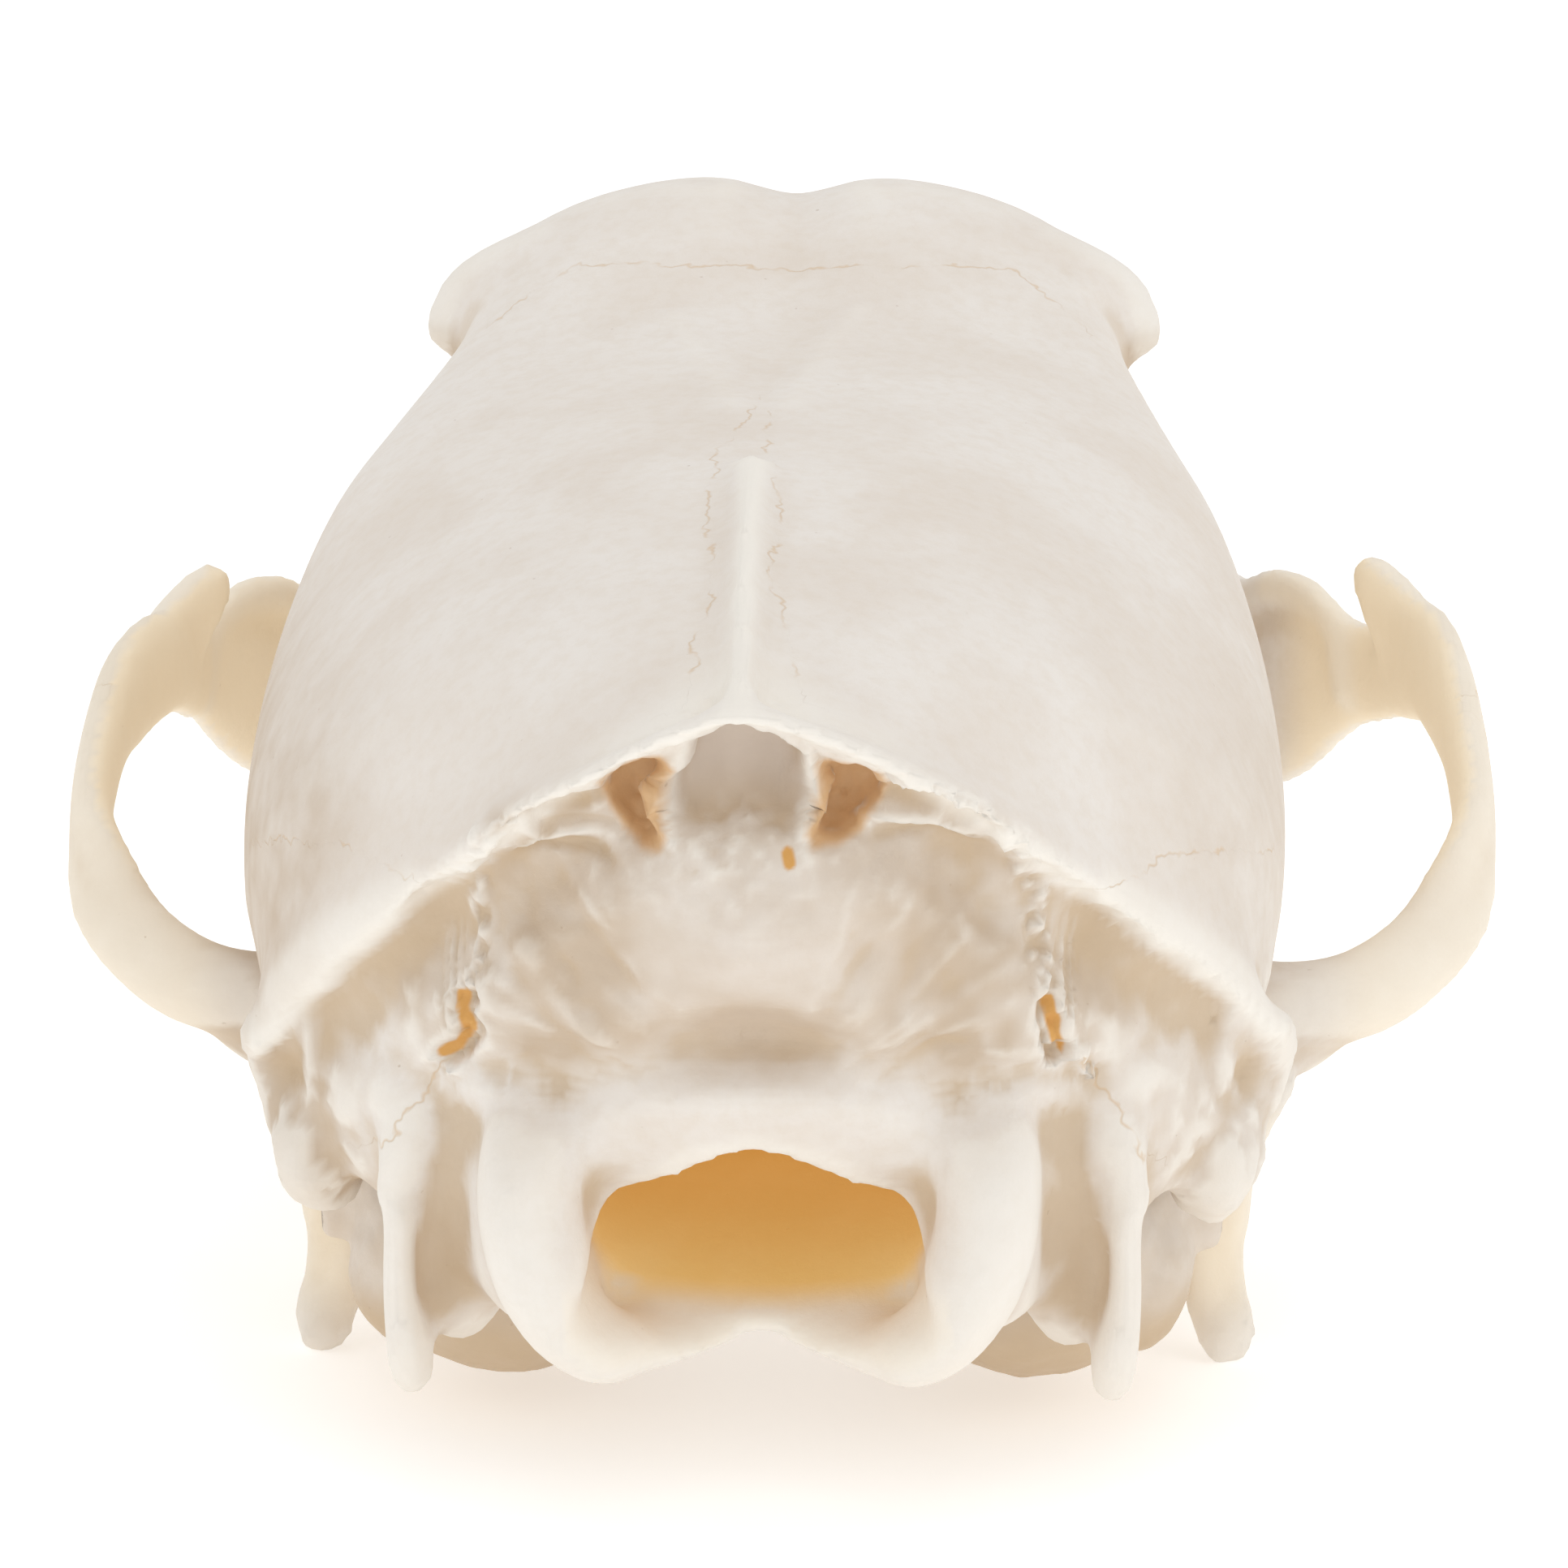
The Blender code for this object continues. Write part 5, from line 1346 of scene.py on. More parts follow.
def group_tree(name, inputs, outputs):
    """New shader node group with named sockets: {name: (type, default)} and {name: type}."""
    tree = bpy.data.node_groups.new(name, "ShaderNodeTree")
    for label, (kind, default) in inputs.items():
        socket = tree.interface.new_socket(name=label, in_out="INPUT", socket_type="NodeSocket" + kind)
        socket.default_value = default
    for label, kind in outputs.items():
        tree.interface.new_socket(name=label, in_out="OUTPUT", socket_type="NodeSocket" + kind)
    return tree, tree.nodes.new("NodeGroupInput"), tree.nodes.new("NodeGroupOutput")


def noise_node(tree, place, size, detail=2.0, roughness=0.5, distortion=0.0):
    """Noise whose features are about the given size in millimetres."""
    node = tree.nodes.new("ShaderNodeTexNoise")
    node.inputs["Scale"].default_value = 1.0 / (size * MM)
    node.inputs["Detail"].default_value = detail
    node.inputs["Roughness"].default_value = roughness
    node.inputs["Distortion"].default_value = distortion
    tree.links.new(place, node.inputs["Vector"])
    return node.outputs["Fac"]


def math_node(tree, operation, first, second=0.5, third=None):
    """Sum, product or the like of sockets and numbers."""
    node = tree.nodes.new("ShaderNodeMath")
    node.operation = operation
    for socket, value in zip(node.inputs, (first, second, third)):
        if value is None:
            continue
        if isinstance(value, (int, float)):
            socket.default_value = value
        else:
            tree.links.new(value, socket)
    return node.outputs[0]


def ramp_node(tree, value, low, high, out_low=0.0, out_high=1.0):
    """Soft step of a value between two levels."""
    node = tree.nodes.new("ShaderNodeMapRange")
    node.interpolation_type = "SMOOTHSTEP"
    labels = ("From Min", "From Max", "To Min", "To Max")
    for label, number in zip(labels, (low, high, out_low, out_high)):
        node.inputs[label].default_value = number
    tree.links.new(value, node.inputs["Value"])
    return node.outputs["Result"]


def mix_node(tree, share, first, second):
    """Mix of two colours; each may be a socket or four numbers."""
    node = tree.nodes.new("ShaderNodeMix")
    node.data_type = "RGBA"
    for socket, value in ((node.inputs[0], share), (node.inputs[6], first), (node.inputs[7], second)):
        if isinstance(value, bpy.types.NodeSocket):
            tree.links.new(value, socket)
        else:
            socket.default_value = value
    return node.outputs[2]


def mask_node(tree, name):
    """A number that the mesh's points carry."""
    node = tree.nodes.new("ShaderNodeAttribute")
    node.attribute_type = "GEOMETRY"
    node.attribute_name = name
    return node.outputs["Fac"]


def bone_grain_group():
    """Clouds, grain, pores and fine relief of dry bone."""
    tree, entry, leave = group_tree(
        "bone_grain",
        {"Place": ("Vector", (0, 0, 0)), "Relief": ("Float", 1.0)},
        {"Clouds": "Float", "Grain": "Float", "Pores": "Float", "Height": "Float"})
    place = entry.outputs["Place"]
    clouds = ramp_node(tree, noise_node(tree, place, 11.0, 3.0, 0.55, 0.4), 0.32, 0.7)
    grain = noise_node(tree, place, 0.9, 4.0, 0.6)
    pores = ramp_node(tree, noise_node(tree, place, 0.55, 1.0, 0.4), 0.8, 0.86)
    fine = noise_node(tree, place, 0.35, 2.0, 0.5)
    swell = noise_node(tree, place, 3.2, 2.0, 0.5)
    height = math_node(tree, "MULTIPLY", swell, 0.55)
    height = math_node(tree, "MULTIPLY_ADD", grain, 0.22, height)
    height = math_node(tree, "MULTIPLY_ADD", fine, 0.06, height)
    height = math_node(tree, "MULTIPLY_ADD", pores, -0.12, height)
    height = math_node(tree, "MULTIPLY", height, entry.outputs["Relief"])
    for label, value in (("Clouds", clouds), ("Grain", grain), ("Pores", pores), ("Height", height)):
        tree.links.new(value, leave.inputs[label])
    return tree


def seam_group():
    """Broken, wandering line where two bones meet, from a signed distance in millimetres."""
    tree, entry, leave = group_tree(
        "bone_seam",
        {"Place": ("Vector", (0, 0, 0)), "Distance": ("Float", 99.0), "Wander": ("Float", 0.5),
         "Half Width": ("Float", 0.12)},
        {"Line": "Float", "Groove": "Float"})
    place = entry.outputs["Place"]
    sway = math_node(tree, "SUBTRACT", noise_node(tree, place, 1.6, 2.0, 0.7), 0.5)
    sway = math_node(tree, "MULTIPLY", sway, entry.outputs["Wander"])
    sway = math_node(tree, "MULTIPLY", sway, 4.0)
    moved = math_node(tree, "ABSOLUTE", math_node(tree, "ADD", entry.outputs["Distance"], sway))
    width = entry.outputs["Half Width"]
    near = math_node(tree, "SUBTRACT", 1.0, math_node(tree, "DIVIDE", moved, width))
    line = math_node(tree, "MINIMUM", math_node(tree, "MAXIMUM", near, 0.0), 1.0)
    broken = ramp_node(tree, noise_node(tree, place, 2.6, 1.0), 0.38, 0.56)
    groove = math_node(tree, "MULTIPLY", line, math_node(tree, "MULTIPLY_ADD", broken, 0.6, 0.4))
    tree.links.new(math_node(tree, "MULTIPLY", line, broken), leave.inputs["Line"])
    tree.links.new(groove, leave.inputs["Groove"])
    return tree


def streak_group():
    """Fine streaks that run along one of two surface measures, for muscle-marked bone."""
    tree, entry, leave = group_tree(
        "bone_streaks",
        {"Across": ("Float", 0.0), "Along": ("Float", 0.0), "Strength": ("Float", 1.0)},
        {"Shade": "Float", "Height": "Float"})
    place = tree.nodes.new("ShaderNodeCombineXYZ")
    tree.links.new(entry.outputs["Across"], place.inputs[0])
    tree.links.new(entry.outputs["Along"], place.inputs[1])
    lines = tree.nodes.new("ShaderNodeTexNoise")
    for label, number in (("Scale", 1.5), ("Detail", 6.0), ("Roughness", 0.6), ("Distortion", 0.7)):
        lines.inputs[label].default_value = number
    tree.links.new(place.outputs[0], lines.inputs["Vector"])
    shade = ramp_node(tree, lines.outputs["Fac"], 0.56, 0.34)
    shade = math_node(tree, "MULTIPLY", shade, entry.outputs["Strength"])
    height = math_node(tree, "MULTIPLY", lines.outputs["Fac"], entry.outputs["Strength"])
    tree.links.new(shade, leave.inputs["Shade"])
    tree.links.new(height, leave.inputs["Height"])
    return tree


def placed(tree, group, **values):
    """A shared effect in a material, with its own values."""
    node = tree.nodes.new("ShaderNodeGroup")
    node.node_tree = group
    for label, value in values.items():
        socket = node.inputs[label.replace("_", " ")]
        if isinstance(value, bpy.types.NodeSocket):
            tree.links.new(value, socket)
        else:
            socket.default_value = value
    return node.outputs


def add_relief(tree, shader, height, strength, depth):
    """Fine relief of a finish, from a height that changes over the surface."""
    node = tree.nodes.new("ShaderNodeBump")
    node.inputs["Strength"].default_value = strength
    node.inputs["Distance"].default_value = depth
    tree.links.new(height, node.inputs["Height"])
    tree.links.new(node.outputs["Normal"], shader.inputs["Normal"])


def start_material(name):
    """New material with its tree, its shader and its place on the object."""
    material = bpy.data.materials.new(name)
    material.use_nodes = True
    tree = material.node_tree
    place = tree.nodes.new("ShaderNodeTexCoord").outputs["Object"]
    return material, tree, tree.nodes["Principled BSDF"], place


def dry_bone(look, grain, seam, streaks):
    """Matte ivory bone with painted light: a yellow glow where it is thin and an orange glow inside the
    braincase.
    """
    material, tree, shader, place = start_material("dry_bone")
    mask = {name: mask_node(tree, name) for name in MASKS}
    skin = placed(tree, grain, Place=place, Relief=1.0)
    rays = placed(tree, streaks, Across=mask["ray"], Along=mask["out"], Strength=mask["streak"])
    width = look.seam_width / MM
    line = placed(tree, seam, Place=place, Distance=mask["seam"], Wander=0.45, Half_Width=width)
    base = mix_node(tree, skin["Clouds"], tuple(look.bone_light), tuple(look.bone_shade))
    grained = ramp_node(tree, skin["Grain"], 0.35, 0.75)
    mark = math_node(tree, "MULTIPLY", line["Line"], mask["seam_near"])
    # Each layer over the one before: where, how strong and its colour
    for where, strength, tone in (
            # Grain, then painted shade where the light reaches less
            (grained, 0.25, colour((222, 208, 190))), (mask["painted_shade"], 1.0, tuple(look.painted_shade_tint)),
            # Painted shade in hollows
            (mask["deep_shade"], 0.75, colour((202, 178, 146))),
            (rays["Shade"], 0.65, colour((202, 188, 172))),
            # Whiter crest, with painted highlights on the eye rims and painted light on the sill
            (mask["crest_and_highlight"], 0.85, tuple(look.crest_and_highlight_tint)),
            # Painted highlight on raised edges
            (mask["edge"], 0.6, colour((245, 240, 231))),
            # Painted grey shade in the recess and the hollow over the great hole
            (mask["recess"], 0.75, colour((214, 202, 192))),
            # Painted yellow glow where the bone is thin
            (mask["thin"], 1.0, colour((250, 236, 210))),
            # Painted shade inside the pits
            (mask["pit"], 1.0, colour((216, 178, 134))),
            (mark, 0.5, colour((214, 178, 130))),
            (skin["Pores"], 0.35, colour((170, 140, 108)))):
        base = mix_node(tree, math_node(tree, "MULTIPLY", where, strength), base, tone)
    orange = mix_node(tree, skin["Clouds"], colour((222, 190, 126)), colour((228, 200, 146)))
    base = mix_node(tree, mask["inside"], base, orange)
    # Painted orange glow in the slits of the vessel holes
    slit = ramp_node(tree, mask["slit"], -0.12, 0.12, 1.0, 0.0)
    base = mix_node(tree, slit, base, colour((218, 164, 92)))
    tree.links.new(base, shader.inputs["Base Color"])
    # Painted glow of the thin places and the braincase's inside
    shine = math_node(tree, "MULTIPLY_ADD", mask["thin"], 0.3, mask["inside"])
    glow = mix_node(tree, shine, (0, 0, 0, 1), tuple(look.inner_glow))
    tree.links.new(glow, shader.inputs["Emission Color"])
    shader.inputs["Emission Strength"].default_value = look.glow_strength
    rough = ramp_node(tree, skin["Grain"], 0.2, 0.8, 0.52, 0.68)
    tree.links.new(rough, shader.inputs["Roughness"])
    shader.inputs["Specular IOR Level"].default_value = 0.35
    groove = math_node(tree, "MULTIPLY", line["Groove"], mask["seam_near"])
    height = math_node(tree, "MULTIPLY_ADD", groove, -0.14, skin["Height"])
    height = math_node(tree, "MULTIPLY_ADD", rays["Height"], 7.0, height)
    add_relief(tree, shader, height, 0.5, look.relief_depth)
    return material


def enamel(look, grain):
    """Glossier ivory of the tooth crowns, browner towards the root."""
    material, tree, shader, place = start_material("tooth_enamel")
    skin = placed(tree, grain, Place=place, Relief=0.3)
    base = mix_node(tree, skin["Clouds"], tuple(look.tooth_crown), tuple(look.tooth_shade))
    root = mask_node(tree, "root")
    base = mix_node(tree, root, base, tuple(look.tooth_root))
    tree.links.new(base, shader.inputs["Base Color"])
    tree.links.new(ramp_node(tree, root, 0.0, 1.0, 0.24, 0.5), shader.inputs["Roughness"])
    add_relief(tree, shader, skin["Height"], 0.3, 0.0003)
    return material


def pale_floor(look):
    """Plain pale floor, a little lit from within."""
    material, tree, shader, place = start_material("pale_floor")
    clouds = noise_node(tree, place, 60.0, 2.0)
    shade = mix_node(tree, clouds, tuple(look.floor_tint), colour((250, 250, 249)))
    tree.links.new(shade, shader.inputs["Base Color"])
    shader.inputs["Roughness"].default_value = 0.9
    shader.inputs["Emission Color"].default_value = (1.0, 1.0, 1.0, 1.0)
    shader.inputs["Emission Strength"].default_value = 0.36
    shader.inputs["Specular IOR Level"].default_value = 0.1
    return material


# Teeth of one side: name, centre, half width, half length, crown height, cusps.
# A cusp is its offset across and along, its share of the height and of the base.

PREMOLAR_CUSPS = [(0.0, 0.05, 1.0, 0.8), (0.0, -0.75, 0.5, 0.5), (0.0, 0.75, 0.32, 0.45)]
TEETH = [
    ("molar_2", (17.4, 72.8), 3.8, 3.2, 3.8, [(0.7, 0.1, 1.0, 0.8), (-0.5, -0.1, 0.7, 0.9)]),
    ("molar_1", (18.4, 80.0), 5.8, 5.0, 5.4, [(0.75, 0.5, 1.0, 0.6), (0.7, -0.5, 0.85, 0.6),
                                              (-0.5, 0.0, 0.6, 0.9)]),
    ("premolar_4", (18.6, 91.6), 3.2, 7.8, 8.6, [(0.3, 0.25, 1.0, 0.55), (0.3, -0.6, 0.66, 0.5),
                                                (-0.9, 0.7, 0.35, 0.4)]),
    ("premolar_3", (14.8, 103.6), 2.0, 4.8, 5.8, PREMOLAR_CUSPS),
    ("premolar_2", (12.8, 113.0), 1.8, 4.2, 5.0, PREMOLAR_CUSPS),
    ("premolar_1", (11.8, 120.4), 1.6, 2.4, 3.8, [(0.0, 0.1, 1.0, 1.0)]),
]
ROOT_DEPTH = 2.6
TOOTH_VOXEL = 0.3
CANINE_TIP = (12.3, 126.6)
# Front row: how far forward the middle of its arc lies, the arc's radius and half its angle
INCISOR_ARC = (132.93, 9.97, math.radians(55.3))


# Outline of a cusp from root to point: share of its height and of its width
CUSP_SWELL = [(0.0, 0.8), (0.2, 0.93), (0.38, 1.0), (0.55, 0.84), (0.75, 0.52), (0.92, 0.24), (1.0, 0.1)]


def cusp_form(at, half_width, half_length, base, tip, side, count=20):
    """Rounded cone from its root in the jaw down to its point."""
    angle = np.linspace(0, 2 * math.pi, count, endpoint=False)
    rings = []
    for share, swell in CUSP_SWELL:
        x = (at[0] + half_width * swell * np.cos(angle)) * side
        y = at[1] + half_length * swell * np.sin(angle)
        rings.append(np.stack([x, y, np.full(count, base + (tip - base) * share)], 1))
    return lofted(rings)


def tooth_forms(side, canine_length):
    """Canine and cheek teeth of one side, with their roots sunk into the jaw."""
    base = PALATE_LEVEL + ROOT_DEPTH
    forms = []
    for _, centre, half_width, half_length, height, cusps in TEETH:
        for across, along, tall, share in cusps:
            at = (centre[0] + across * half_width * 0.7, centre[1] + along * half_length * 0.8)
            wide = half_width * max(share, 0.55)
            tip = PALATE_LEVEL - height * tall
            forms.append(cusp_form(at, wide, half_length * share, base, tip, side))
    canine = [
        (11.2, 129.2, base + 1.5, 2.2, 3.3, 0),
        (11.6, 129.9, PALATE_LEVEL - 2.5, 2.2, 3.4, 0),
        (12.2, 129.6, PALATE_LEVEL - 7.5, 1.8, 2.6, 0),
        (12.4, 128.3, PALATE_LEVEL - 12.5, 1.2, 1.7, 0),
        (*CANINE_TIP, PALATE_LEVEL - canine_length, 0.5, 0.6, 0),
    ]
    forms.append(bar_form(canine, side, count=24))
    return forms


def incisor_tree():
    """Front teeth set along an arc, larger towards the canines."""
    tree = bpy.data.node_groups.new("incisor_row", "GeometryNodeTree")
    for label, kind, value in (
            ("Crown", "Geometry", None), ("Count", "Int", 6), ("Row Radius", "Float", 10.0),
            ("Row Angle", "Float", 2.0), ("Outer Width", "Float", 1.15), ("Outer Height", "Float", 1.4),
            ("Material", "Material", None)):
        socket = tree.interface.new_socket(name=label, in_out="INPUT", socket_type="NodeSocket" + kind)
        if value is not None:
            socket.default_value = value
    tree.interface.new_socket(name="Teeth", in_out="OUTPUT", socket_type="NodeSocketGeometry")
    entry, leave = tree.nodes.new("NodeGroupInput").outputs, tree.nodes.new("NodeGroupOutput")
    link = tree.links.new
    arc = tree.nodes.new("GeometryNodeCurveArc")
    arc.mode = "RADIUS"
    arc.inputs["Resolution"].default_value = 64
    link(entry["Row Radius"], arc.inputs["Radius"])
    first = math_node(tree, "MULTIPLY_ADD", entry["Row Angle"], -0.5, math.pi / 2)
    link(first, arc.inputs["Start Angle"])
    link(entry["Row Angle"], arc.inputs["Sweep Angle"])
    spots = tree.nodes.new("GeometryNodeCurveToPoints")
    spots.mode = "COUNT"
    link(arc.outputs["Curve"], spots.inputs["Curve"])
    link(entry["Count"], spots.inputs["Count"])
    turn = tree.nodes.new("FunctionNodeAlignRotationToVector")
    turn.axis = "X"
    turn.pivot_axis = "Z"
    link(spots.outputs["Tangent"], turn.inputs["Vector"])
    share = math_node(tree, "DIVIDE", tree.nodes.new("GeometryNodeInputIndex").outputs[0],
                      math_node(tree, "SUBTRACT", entry["Count"], 1.0))
    outward = math_node(tree, "ABSOLUTE", math_node(tree, "MULTIPLY_ADD", share, 2.0, -1.0))
    size = tree.nodes.new("ShaderNodeCombineXYZ")
    for label, axes in (("Outer Width", (0, 1)), ("Outer Height", (2,))):
        gain = math_node(tree, "SUBTRACT", entry[label], 1.0)
        gain = math_node(tree, "MULTIPLY_ADD", math_node(tree, "POWER", outward, 1.6), gain, 1.0)
        for axis in axes:
            link(gain, size.inputs[axis])
    row = tree.nodes.new("GeometryNodeInstanceOnPoints")
    link(spots.outputs["Points"], row.inputs["Points"])
    link(entry["Crown"], row.inputs["Instance"])
    link(turn.outputs["Rotation"], row.inputs["Rotation"])
    link(size.outputs[0], row.inputs["Scale"])
    real = tree.nodes.new("GeometryNodeRealizeInstances")
    link(row.outputs["Instances"], real.inputs["Geometry"])
    dress = tree.nodes.new("GeometryNodeSetMaterial")
    link(real.outputs["Geometry"], dress.inputs["Geometry"])
    link(entry["Material"], dress.inputs["Material"])
    link(dress.outputs["Geometry"], leave.inputs["Teeth"])
    return tree


def incisor_form(height):
    """Spade-like crown with its root above zero and its edge below."""
    rows = [
        (0.0, -0.9, ROOT_DEPTH, 1.0, 1.2, 0),
        (0.0, -0.3, 0.4, 1.3, 1.5, 0),
        (0.0, 0.1, -height * 0.35, 1.45, 1.35, 0),
        (0.0, 0.3, -height * 0.72, 1.3, 0.9, 0),
        (0.0, 0.2, -height, 0.75, 0.4, 0),
    ]
    return bar_form(rows, count=28, steps=8)


# Parting the skull and handing the pieces over

def halved(source, name, cuts):
    """Copy of a closed mesh kept on the side that each cut's normal points away from."""
    shape = bmesh.new()
    shape.from_mesh(source.data)
    for place, normal in cuts:
        geometry = list(shape.verts) + list(shape.edges) + list(shape.faces)
        result = bmesh.ops.bisect_plane(shape, geom=geometry, dist=1e-5, plane_co=place, plane_no=normal,
                                        clear_outer=True)
        cut_edges = [part for part in result["geom_cut"] if isinstance(part, bmesh.types.BMEdge)]
        rim = [edge for edge in cut_edges if edge.is_boundary]
        filled = bmesh.ops.triangle_fill(shape, use_beauty=False, use_dissolve=False, edges=rim,
                                         normal=normal)
        for face in filled["geom"]:
            if isinstance(face, bmesh.types.BMFace):
                face.smooth = False
        for edge in rim:
            if edge.is_valid:
                edge.smooth = False
    shape.normal_update()
    mesh = bpy.data.meshes.new(name)
    shape.to_mesh(mesh)
    shape.free()
    made = bpy.data.objects.new(name, mesh)
    bpy.context.scene.collection.objects.link(made)
    return made


def handed_over(piece, name, nodes, material):
    """Put a finished mesh into the part's frame, give it its material, hang it on the body and hide the
    solids that it stands for.
    """
    piece.name = name
    piece.data.name = name
    piece.data.transform(turned())
    low, high = np.array(CAD_BOX)
    set_points(piece, np.clip(points_of(piece), low, high))
    piece.data.shade_smooth()
    piece.data.materials.clear()
    piece.data.materials.append(material)
    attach(piece, BODY)
    if nodes:
        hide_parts(*nodes)
    return piece


def fresh(name):
    """Take away an earlier build of a piece, so that its operator can run again."""
    old = bpy.data.objects.get(name)
    if old:
        bpy.data.objects.remove(old, do_unlink=True)


def finish(name, make, *parts):
    """A material by name, built once."""
    return bpy.data.materials.get(name) or make(*parts)


def shared(name, make):
    """A node group by name, built once."""
    return bpy.data.node_groups.get(name) or make()


def bone_finish(look):
    """The bones' material, made once."""
    return finish("dry_bone", dry_bone, look, shared("bone_grain", bone_grain_group),
                  shared("bone_seam", seam_group), shared("bone_streaks", streak_group))


def tooth_finish(look):
    """The teeth's material, made once."""
    return finish("tooth_enamel", enamel, look, shared("bone_grain", bone_grain_group))


class SKULL_OT_bones(bpy.types.Operator):
    """Build the braincase, muzzle and cheek arches as one skin and part them"""
    bl_idname = "skull.bones"
    bl_label = "Bones"

    def execute(self, context):
        whole = whole_skull()
        inner = CHEEK_CUT
        (top_y, top_z), (low_y, low_z) = FACE_CUT
        slant = Vector((0, top_z - low_z, low_y - top_y)).normalized()
        foot = Vector((0, low_y, low_z))
        mid = [((inner, 0, 0), (1, 0, 0)), ((-inner, 0, 0), (-1, 0, 0))]
        pieces = (
            ("braincase", mid + [(foot, slant)], "bone"),
            ("muzzle", mid + [(foot, -slant)], "bone"),
            ("zygomatic_arch_left", [((-inner, 0, 0), (1, 0, 0))], "thin_bone"),
            ("zygomatic_arch_right", [((inner, 0, 0), (-1, 0, 0))], "thin_bone"),
        )
        for node, cuts, slot in pieces:
            fresh("bone_" + node)
            piece = halved(whole, "bone_" + node, cuts)
            handed_over(piece, "bone_" + node, [node], bone_finish(context.scene.skull_look))
        drop(whole)
        return {"FINISHED"}


CAPSULE_VOXEL = 0.36
EAR_CANAL = [(17.5, 24.6, -1.0, 1.4, 1.4, 0), (21.0, 24.4, -1.1, 2.0, 2.0, 0),
             (28.0, 23.8, -1.5, 2.1, 2.1, 0)]


class SKULL_OT_capsules(bpy.types.Operator):
    """Build the two ear capsules with the lips of their canals"""
    bl_idname = "skull.capsules"
    bl_label = "Ear capsules"

    def execute(self, context):
        for side, word in ((-1, "left"), (1, "right")):
            name = "bone_auditory_bulla_" + word
            fresh(name)
            capsule = remeshed(mesh_from(name, capsule_forms(side)), CAPSULE_VOXEL, 8)
            carved(capsule, mesh_from("canal", [bar_form(EAR_CANAL, side)]))
            points, normals = points_of(capsule), normals_of(capsule)
            rough = 0.10 * wobble(points, 1.4, 81, 2) + 0.18 * wobble(points, 4.0, 82)
            set_points(capsule, points + normals * rough[:, None])
            mark_plain(capsule)
            # Painted shade, darker towards the bottom and towards the middle of each capsule
            low = 1 - ramp(points[:, 2], -7.6, -3.0)
            outer = ramp(np.abs(points[:, 0]), 16.0, 20.0)
            painted_shade = 0.25 + 0.75 * np.maximum(low, 1 - outer) + 0.25 * wobble(points, 3.0, 83, 2)
            set_mask(capsule, "painted_shade", np.clip(painted_shade, 0, 1))
            set_mask(capsule, "deep_shade", np.clip(0.3 + 1.0 * low + 0.2 * wobble(points, 2.0, 84, 2), 0, 1))
            handed_over(capsule, name, ["auditory_bulla_" + word],
                        bone_finish(context.scene.skull_look))
        return {"FINISHED"}


def mark_tooth(row):
    """Mask of the browner neck of each tooth, in the skull's own frame."""
    points = points_of(row)
    level = points[:, 2] + 0.5 * wobble(points, 2.0, 91) - PALATE_LEVEL
    set_mask(row, "root", ramp(level, -1.8, 0.4))


class SKULL_OT_teeth(bpy.types.Operator):
    """Build the canines and the cheek teeth, sunk into the jaw"""
    bl_idname = "skull.teeth"
    bl_label = "Teeth"

    def execute(self, context):
        sizes = context.scene.skull_sizes
        for side, word in ((-1, "left"), (1, "right")):
            name = "teeth_" + word
            fresh(name)
            row = remeshed(mesh_from(name, tooth_forms(side, sizes.canine_length / MM)), TOOTH_VOXEL, 4)
            mark_tooth(row)
            handed_over(row, name, [], tooth_finish(context.scene.skull_look))
        return {"FINISHED"}


class SKULL_OT_incisors(bpy.types.Operator):
    """Set the front teeth along their arc"""
    bl_idname = "skull.incisors"
    bl_label = "Incisors"

    def execute(self, context):
        sizes = context.scene.skull_sizes
        fresh("incisors")
        row = mesh_from("incisors", [incisor_form(sizes.incisor_height / MM)])
        tree = shared("incisor_row", incisor_tree)
        middle, radius, half_angle = INCISOR_ARC
        values = {"Count": sizes.incisor_count, "Row Radius": radius, "Row Angle": 2 * half_angle,
                  "Outer Width": 1.15, "Outer Height": 1.35,
                  "Material": tooth_finish(context.scene.skull_look)}
        spread = row.modifiers.new("row", "NODES")
        spread.node_group = tree
        for socket in tree.interface.items_tree:
            if socket.in_out == "INPUT" and socket.name in values:
                spread[socket.identifier] = values[socket.name]
        baked(row)
        set_points(row, points_of(row) + (0.0, middle, PALATE_LEVEL))
        mark_tooth(row)
        handed_over(row, "incisors", [], tooth_finish(context.scene.skull_look))
        return {"FINISHED"}


def soft_light(name, place, aim, size, power, factor):
    """Round studio light turned towards a point."""
    data = bpy.data.lights.new(name, "AREA")
    data.shape = "DISK"
    data.size = size
    data.energy = power * factor
    light = bpy.data.objects.new(name, data)
    bpy.context.scene.collection.objects.link(light)
    light.location = place
    light.rotation_mode = "QUATERNION"
    light.rotation_quaternion = (Vector(aim) - Vector(place)).to_track_quat("-Z", "Y")
    return light


# Studio lights: place, the point each is aimed at, disk size and power
LIGHTS = {
    "light_above": ((0.05, -0.10, 0.75), (0, 0, 0.02), 0.7, 0.9),
    "light_left": ((-0.70, -0.45, 0.45), (0, -0.03, 0.03), 0.6, 0.32),
    "light_right": ((0.75, -0.35, 0.40), (0, -0.03, 0.03), 0.6, 0.6),
}
SKY_STRENGTH = 0.74
# Camera in the skull's own frame
CAMERA_SPOT = (8.05, -257.1, 124.7)
CAMERA_DOWN = math.radians(20.0)
CAMERA_SIDE = math.radians(1.5)


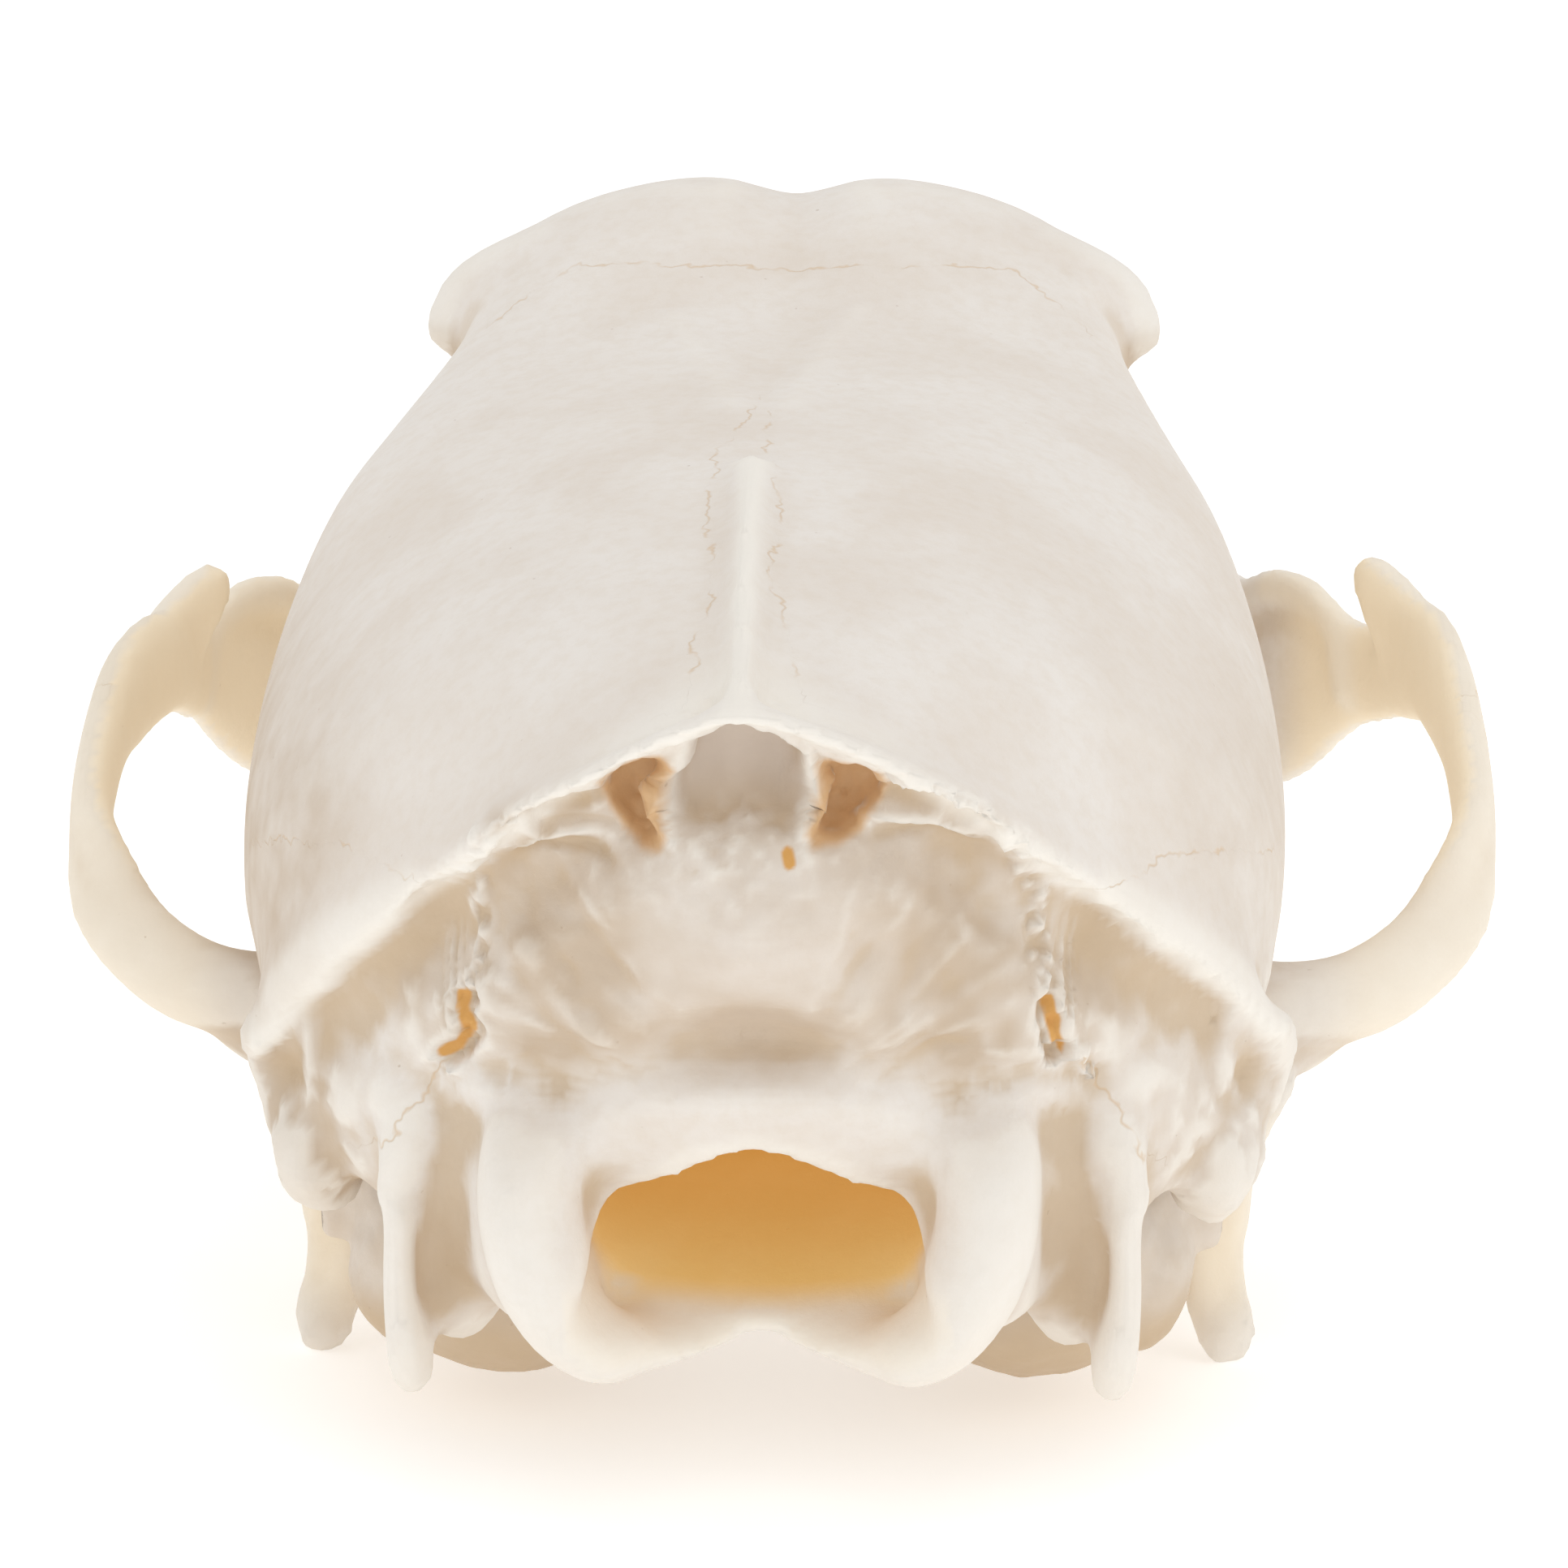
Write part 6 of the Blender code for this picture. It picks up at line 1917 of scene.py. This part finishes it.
class SKULL_OT_stage(bpy.types.Operator):
    """Build the floor, the studio light and the camera"""
    bl_idname = "skull.stage"
    bl_label = "Stage"

    def execute(self, context):
        scene = context.scene
        sizes = scene.skull_sizes
        for name in ("floor", *LIGHTS, "camera"):
            fresh(name)
        mesh = bpy.data.meshes.new("floor")
        reach = sizes.floor_reach
        corners = [(-reach, -reach, 0), (reach, -reach, 0), (reach, reach, 0), (-reach, reach, 0)]
        mesh.from_pydata(corners, [], [(0, 1, 2, 3)])
        floor = bpy.data.objects.new("floor", mesh)
        scene.collection.objects.link(floor)
        mesh.materials.append(finish("pale_floor", pale_floor, scene.skull_look))
        floor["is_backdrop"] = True
        world = bpy.data.worlds.new("studio")
        world.use_nodes = True
        back = world.node_tree.nodes["Background"]
        back.inputs["Color"].default_value = (1.0, 1.0, 1.0, 1.0)
        back.inputs["Strength"].default_value = SKY_STRENGTH
        scene.world = world
        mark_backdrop(*[soft_light(name, *row, sizes.light_strength) for name, row in LIGHTS.items()])
        scene.view_settings.view_transform = "Standard"
        data = bpy.data.cameras.new("camera")
        data.lens = sizes.lens
        data.sensor_width = 36.0
        data.clip_start = 0.01
        data.clip_end = 20.0
        camera = bpy.data.objects.new("camera", data)
        scene.collection.objects.link(camera)
        pose = Matrix.Rotation(CAMERA_SIDE, 4, "Z") @ Matrix.Rotation(math.pi / 2 - CAMERA_DOWN, 4, "X")
        spot, spin, _ = (turned() @ Matrix.Translation(CAMERA_SPOT) @ pose).decompose()
        camera.location = spot
        camera.rotation_mode = "QUATERNION"
        camera.rotation_quaternion = spin
        scene.camera = camera
        return {"FINISHED"}


class SKULL_PT_panel(bpy.types.Panel):
    """Buttons for each group of pieces"""
    bl_idname = "SKULL_PT_panel"
    bl_label = "Jackal skull"
    bl_space_type = "VIEW_3D"
    bl_region_type = "UI"
    bl_category = "Skull"

    def draw(self, context):
        for operator in OPERATORS:
            self.layout.operator(operator.bl_idname)
        for group in (context.scene.skull_look, context.scene.skull_sizes):
            box = self.layout.box()
            for name in group.bl_rna.properties.keys():
                if name not in ("rna_type", "name"):
                    box.prop(group, name)


OPERATORS = (SKULL_OT_bones, SKULL_OT_capsules, SKULL_OT_teeth, SKULL_OT_incisors, SKULL_OT_stage)
CLASSES = (SkullLook, SkullSizes) + OPERATORS + (SKULL_PT_panel,)


def register():
    """Make the classes and the scene's two groups of settings known to Blender."""
    for entry in CLASSES:
        bpy.utils.register_class(entry)
    bpy.types.Scene.skull_look = bpy.props.PointerProperty(type=SkullLook)
    bpy.types.Scene.skull_sizes = bpy.props.PointerProperty(type=SkullSizes)


def unregister():
    """Take back what register() made known."""
    del bpy.types.Scene.skull_sizes
    del bpy.types.Scene.skull_look
    for entry in reversed(CLASSES):
        bpy.utils.unregister_class(entry)


def main():
    register()
    for operator in OPERATORS:
        family, verb = operator.bl_idname.split(".")
        getattr(getattr(bpy.ops, family), verb)()
    boxes = {"cad": CAD_BOX, "visual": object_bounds()}
    boxes = {name: [list(corner) for corner in box] for name, box in boxes.items()}


if __name__ == "__main__":
    main()
